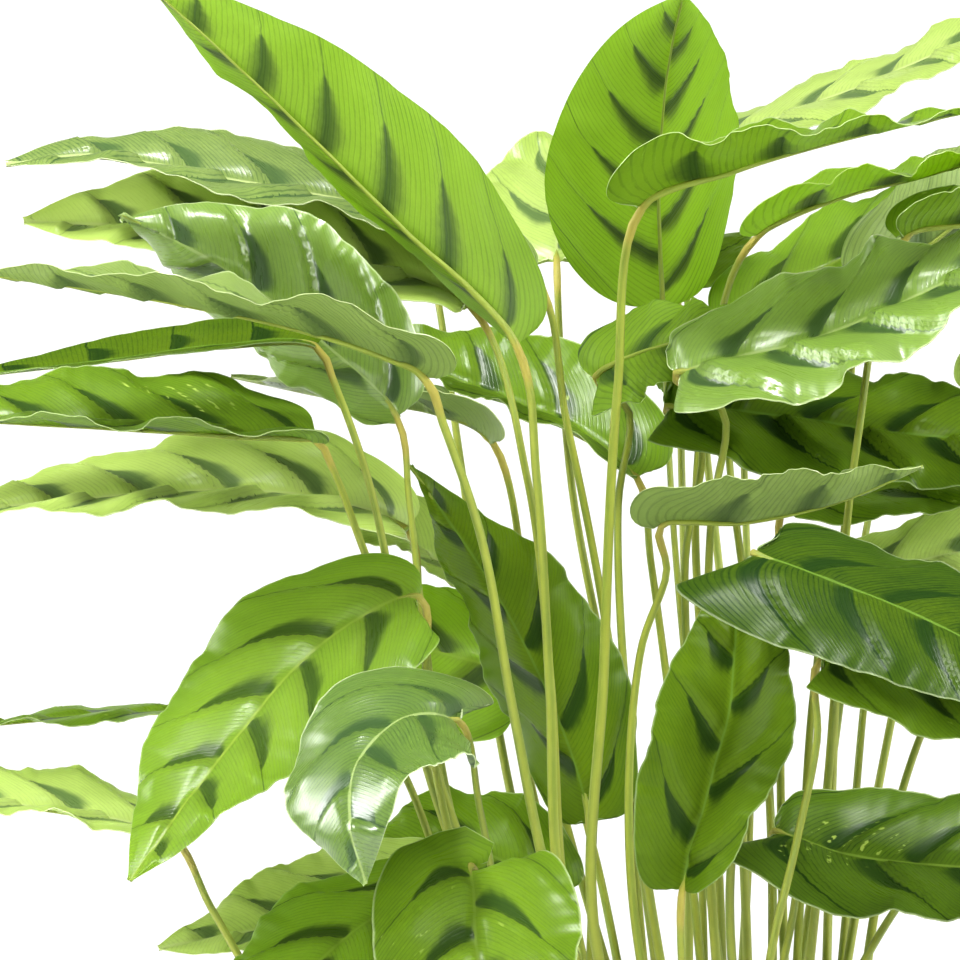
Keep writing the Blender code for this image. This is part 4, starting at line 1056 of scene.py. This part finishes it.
def crumb(source, stone, number, reach):
    """One crumb's corners where it lies."""
    r = reach * OFF_THE_WALL * math.sqrt(source.uniform(0, 1))
    angle = source.uniform(0, math.tau)
    size = source.uniform(0.7, 1.3) * source.choice(CRUMB_SIZES, p=CRUMB_SHARES)
    stretch = size * source.uniform(0.55, 1.35, 3)
    lumps = 1 + 0.22 * waves(stone[:, 0] + stone[:, 2], stone[:, 1] - stone[:, 2], 1.7, number)
    spin, tip = source.uniform(0, math.tau), source.uniform(-0.6, 0.6)
    turn = np.array([[math.cos(spin), -math.sin(spin), 0], [math.sin(spin), math.cos(spin), 0], [0, 0, 1]])
    lean = np.array([[1, 0, 0], [0, math.cos(tip), -math.sin(tip)], [0, math.sin(tip), math.cos(tip)]])
    x, y = r * math.cos(angle), r * math.sin(angle)
    z = float(soil_height(np.array([x]), np.array([y]))[0])
    return (stone * lumps[:, None] * stretch) @ (turn @ lean).T + [x, y, z + 0.15 * size]


def paint_soil(wire):
    place = wire.place()
    damp = wire.noise(place, 22.0, 3.0)
    grain = wire.noise(place, 420.0, 4.0)
    colour = (grain.ramp(0.3, 0.7) * 0.7 + damp * 0.4).clamped().mix("241a12", "54402d")
    colour = (wire.noise(place, 160.0).ramp(0.6, 0.7) * 0.5).mix(colour, "7b6148")
    return wire.surface(colour, 0.88 - damp * 0.2, grain, 0.8, 0.0012)


def paint_grain(wire):
    fine = wire.noise(wire.place(), 700.0, 3.0)
    colour = fine.ramp(0.3, 0.7).mix("a89e8c", "dbd5c8")
    return wire.surface(colour, 0.8 + (fine - 0.5) * 0.2, fine, 0.6, 0.0004)


def make_soil():
    reach = pot_radius(SOIL_TOP) - POT_WALL - SOIL_GAP
    corners = [soil_disc(reach)]
    faces = grid_faces(0, SOIL_RINGS + 2, SOIL_SPOKES + 1).tolist()
    slots = [0] * len(faces)
    shape = bmesh.new()
    bmesh.ops.create_icosphere(shape, subdivisions=2, radius=1)
    stone = np.array([v.co[:] for v in shape.verts])
    sides = np.array([[v.index for v in f.verts] for f in shape.faces])
    shape.free()
    source = np.random.default_rng(11)
    for i in range(CRUMBS):
        faces += (sides + len(corners[0]) + i * len(stone)).tolist()
        corners.append(crumb(source, stone, i, reach))
        slots += [int(source.uniform() < PALE_SHARE)] * len(sides)
    materials = [new_material("potting_soil", paint_soil), new_material("pale_grains", paint_grain)]
    soil = new_piece("soil_dressed", np.concatenate(corners), faces, materials, slots, {})
    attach(soil, "root")
    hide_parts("soil")
    return soil


print("soil:", len(make_soil().data.polygons), "faces")

# %% [markdown]
# ## Floor
# A large pale disc under the pot, with a hardly visible cloud in its colour, as a sheet of matt board
# has. It is only there to look at, so it stands on the stage and isn't part of the plant.

# %% The floor
FLOOR_RADIUS = 2.2


def paint_floor(wire):
    cloud = wire.noise(wire.place(), 3.0, 3.0)
    return wire.node("ShaderNodeBsdfPrincipled", None, {
        "Base Color": cloud.mix("eeeeec", "f6f6f4"), "Roughness": 0.6 + cloud * 0.1})


shape = bmesh.new()
bmesh.ops.create_circle(shape, cap_ends=True, segments=128, radius=FLOOR_RADIUS)
floor = put_in_scene("floor", as_mesh("floor", shape))
floor.data.materials.append(new_material("pale_floor", paint_floor))
print("floor:", 2 * FLOOR_RADIUS, "m across")

# %% [markdown]
# ## Light
# The plant stood before a white wall in large soft lights, so its leaves glow and only their bulges
# glint. A broad light high behind gives the glow and a weak one in front fills the shade. Neither is
# seen in reflections, which would grey the leaves. The glints come from a smaller light above and one
# at each side. The world is white behind the plant and dim elsewhere. One white dome would be simpler,
# but would wash out every blade with its reflection.

# %% The lights
FOLIAGE = (-0.08, 0.0, 0.42)
WALL_GREY = 0.15


def area_light(name, place, size, power, glints):
    """A round light that looks at the foliage."""
    data = bpy.data.lights.new(name, "AREA")
    data.shape, data.size, data.energy = "DISK", size, power
    light = put_in_scene(name, data)
    light.location = place
    light.visible_glossy = glints
    x, y, z = np.array(place) - np.array(FOLIAGE)
    light.rotation_euler = (math.atan2(math.hypot(x, y), z), 0, math.atan2(x, -y))


area_light("front", (-0.15, -2.0, 1.0), 0.9, 25, glints=False)
area_light("glow_behind", (0.3, 2.2, 1.6), 2.0, 68, glints=False)
area_light("high", (-0.2, -1.0, 2.2), 0.45, 46, glints=True)
area_light("side_left", (-1.7, -0.15, 1.2), 1.0, 34, glints=True)
area_light("side_right", (1.6, -0.15, 1.2), 1.0, 34, glints=True)

scene = bpy.context.scene
scene.world = bpy.data.worlds.new("white_room")
scene.world.use_nodes = True
scene.world.node_tree.nodes.clear()
room = Wire(scene.world.node_tree)
_, depth, height = room.node("ShaderNodeTexCoord").split()
wall = (depth.ramp(-0.2, 0.6) * height.ramp(0.6, 0.15)).mix((*[WALL_GREY] * 3, 1), (1, 1, 1, 1))
shine = room.node("ShaderNodeBackground", None, {"Color": wall})
room.node("ShaderNodeOutputWorld", None, {"Surface": shine})
scene.view_settings.view_transform = "Standard"
scene.view_settings.look = "Medium High Contrast"
print("lights:", sorted(light.name for light in bpy.data.lights))

# %% [markdown]
# ## Camera
# The camera is level and four metres away with a long lens, because leaves near and far are drawn at
# one scale in the photograph. A nearer camera would swell the front leaves.

# %% The camera
CAMERA_AT = (-80.5, -4000, 440)
LENS, SENSOR = 428.6, 36

camera = put_in_scene("camera", bpy.data.cameras.new("camera"))
camera.data.lens, camera.data.sensor_width = LENS, SENSOR
camera.location = [c * MM for c in CAMERA_AT]
camera.rotation_euler = (math.radians(90), 0, 0)
scene.camera = camera
print("camera at", CAMERA_AT, "mm with a lens of", LENS, "mm")
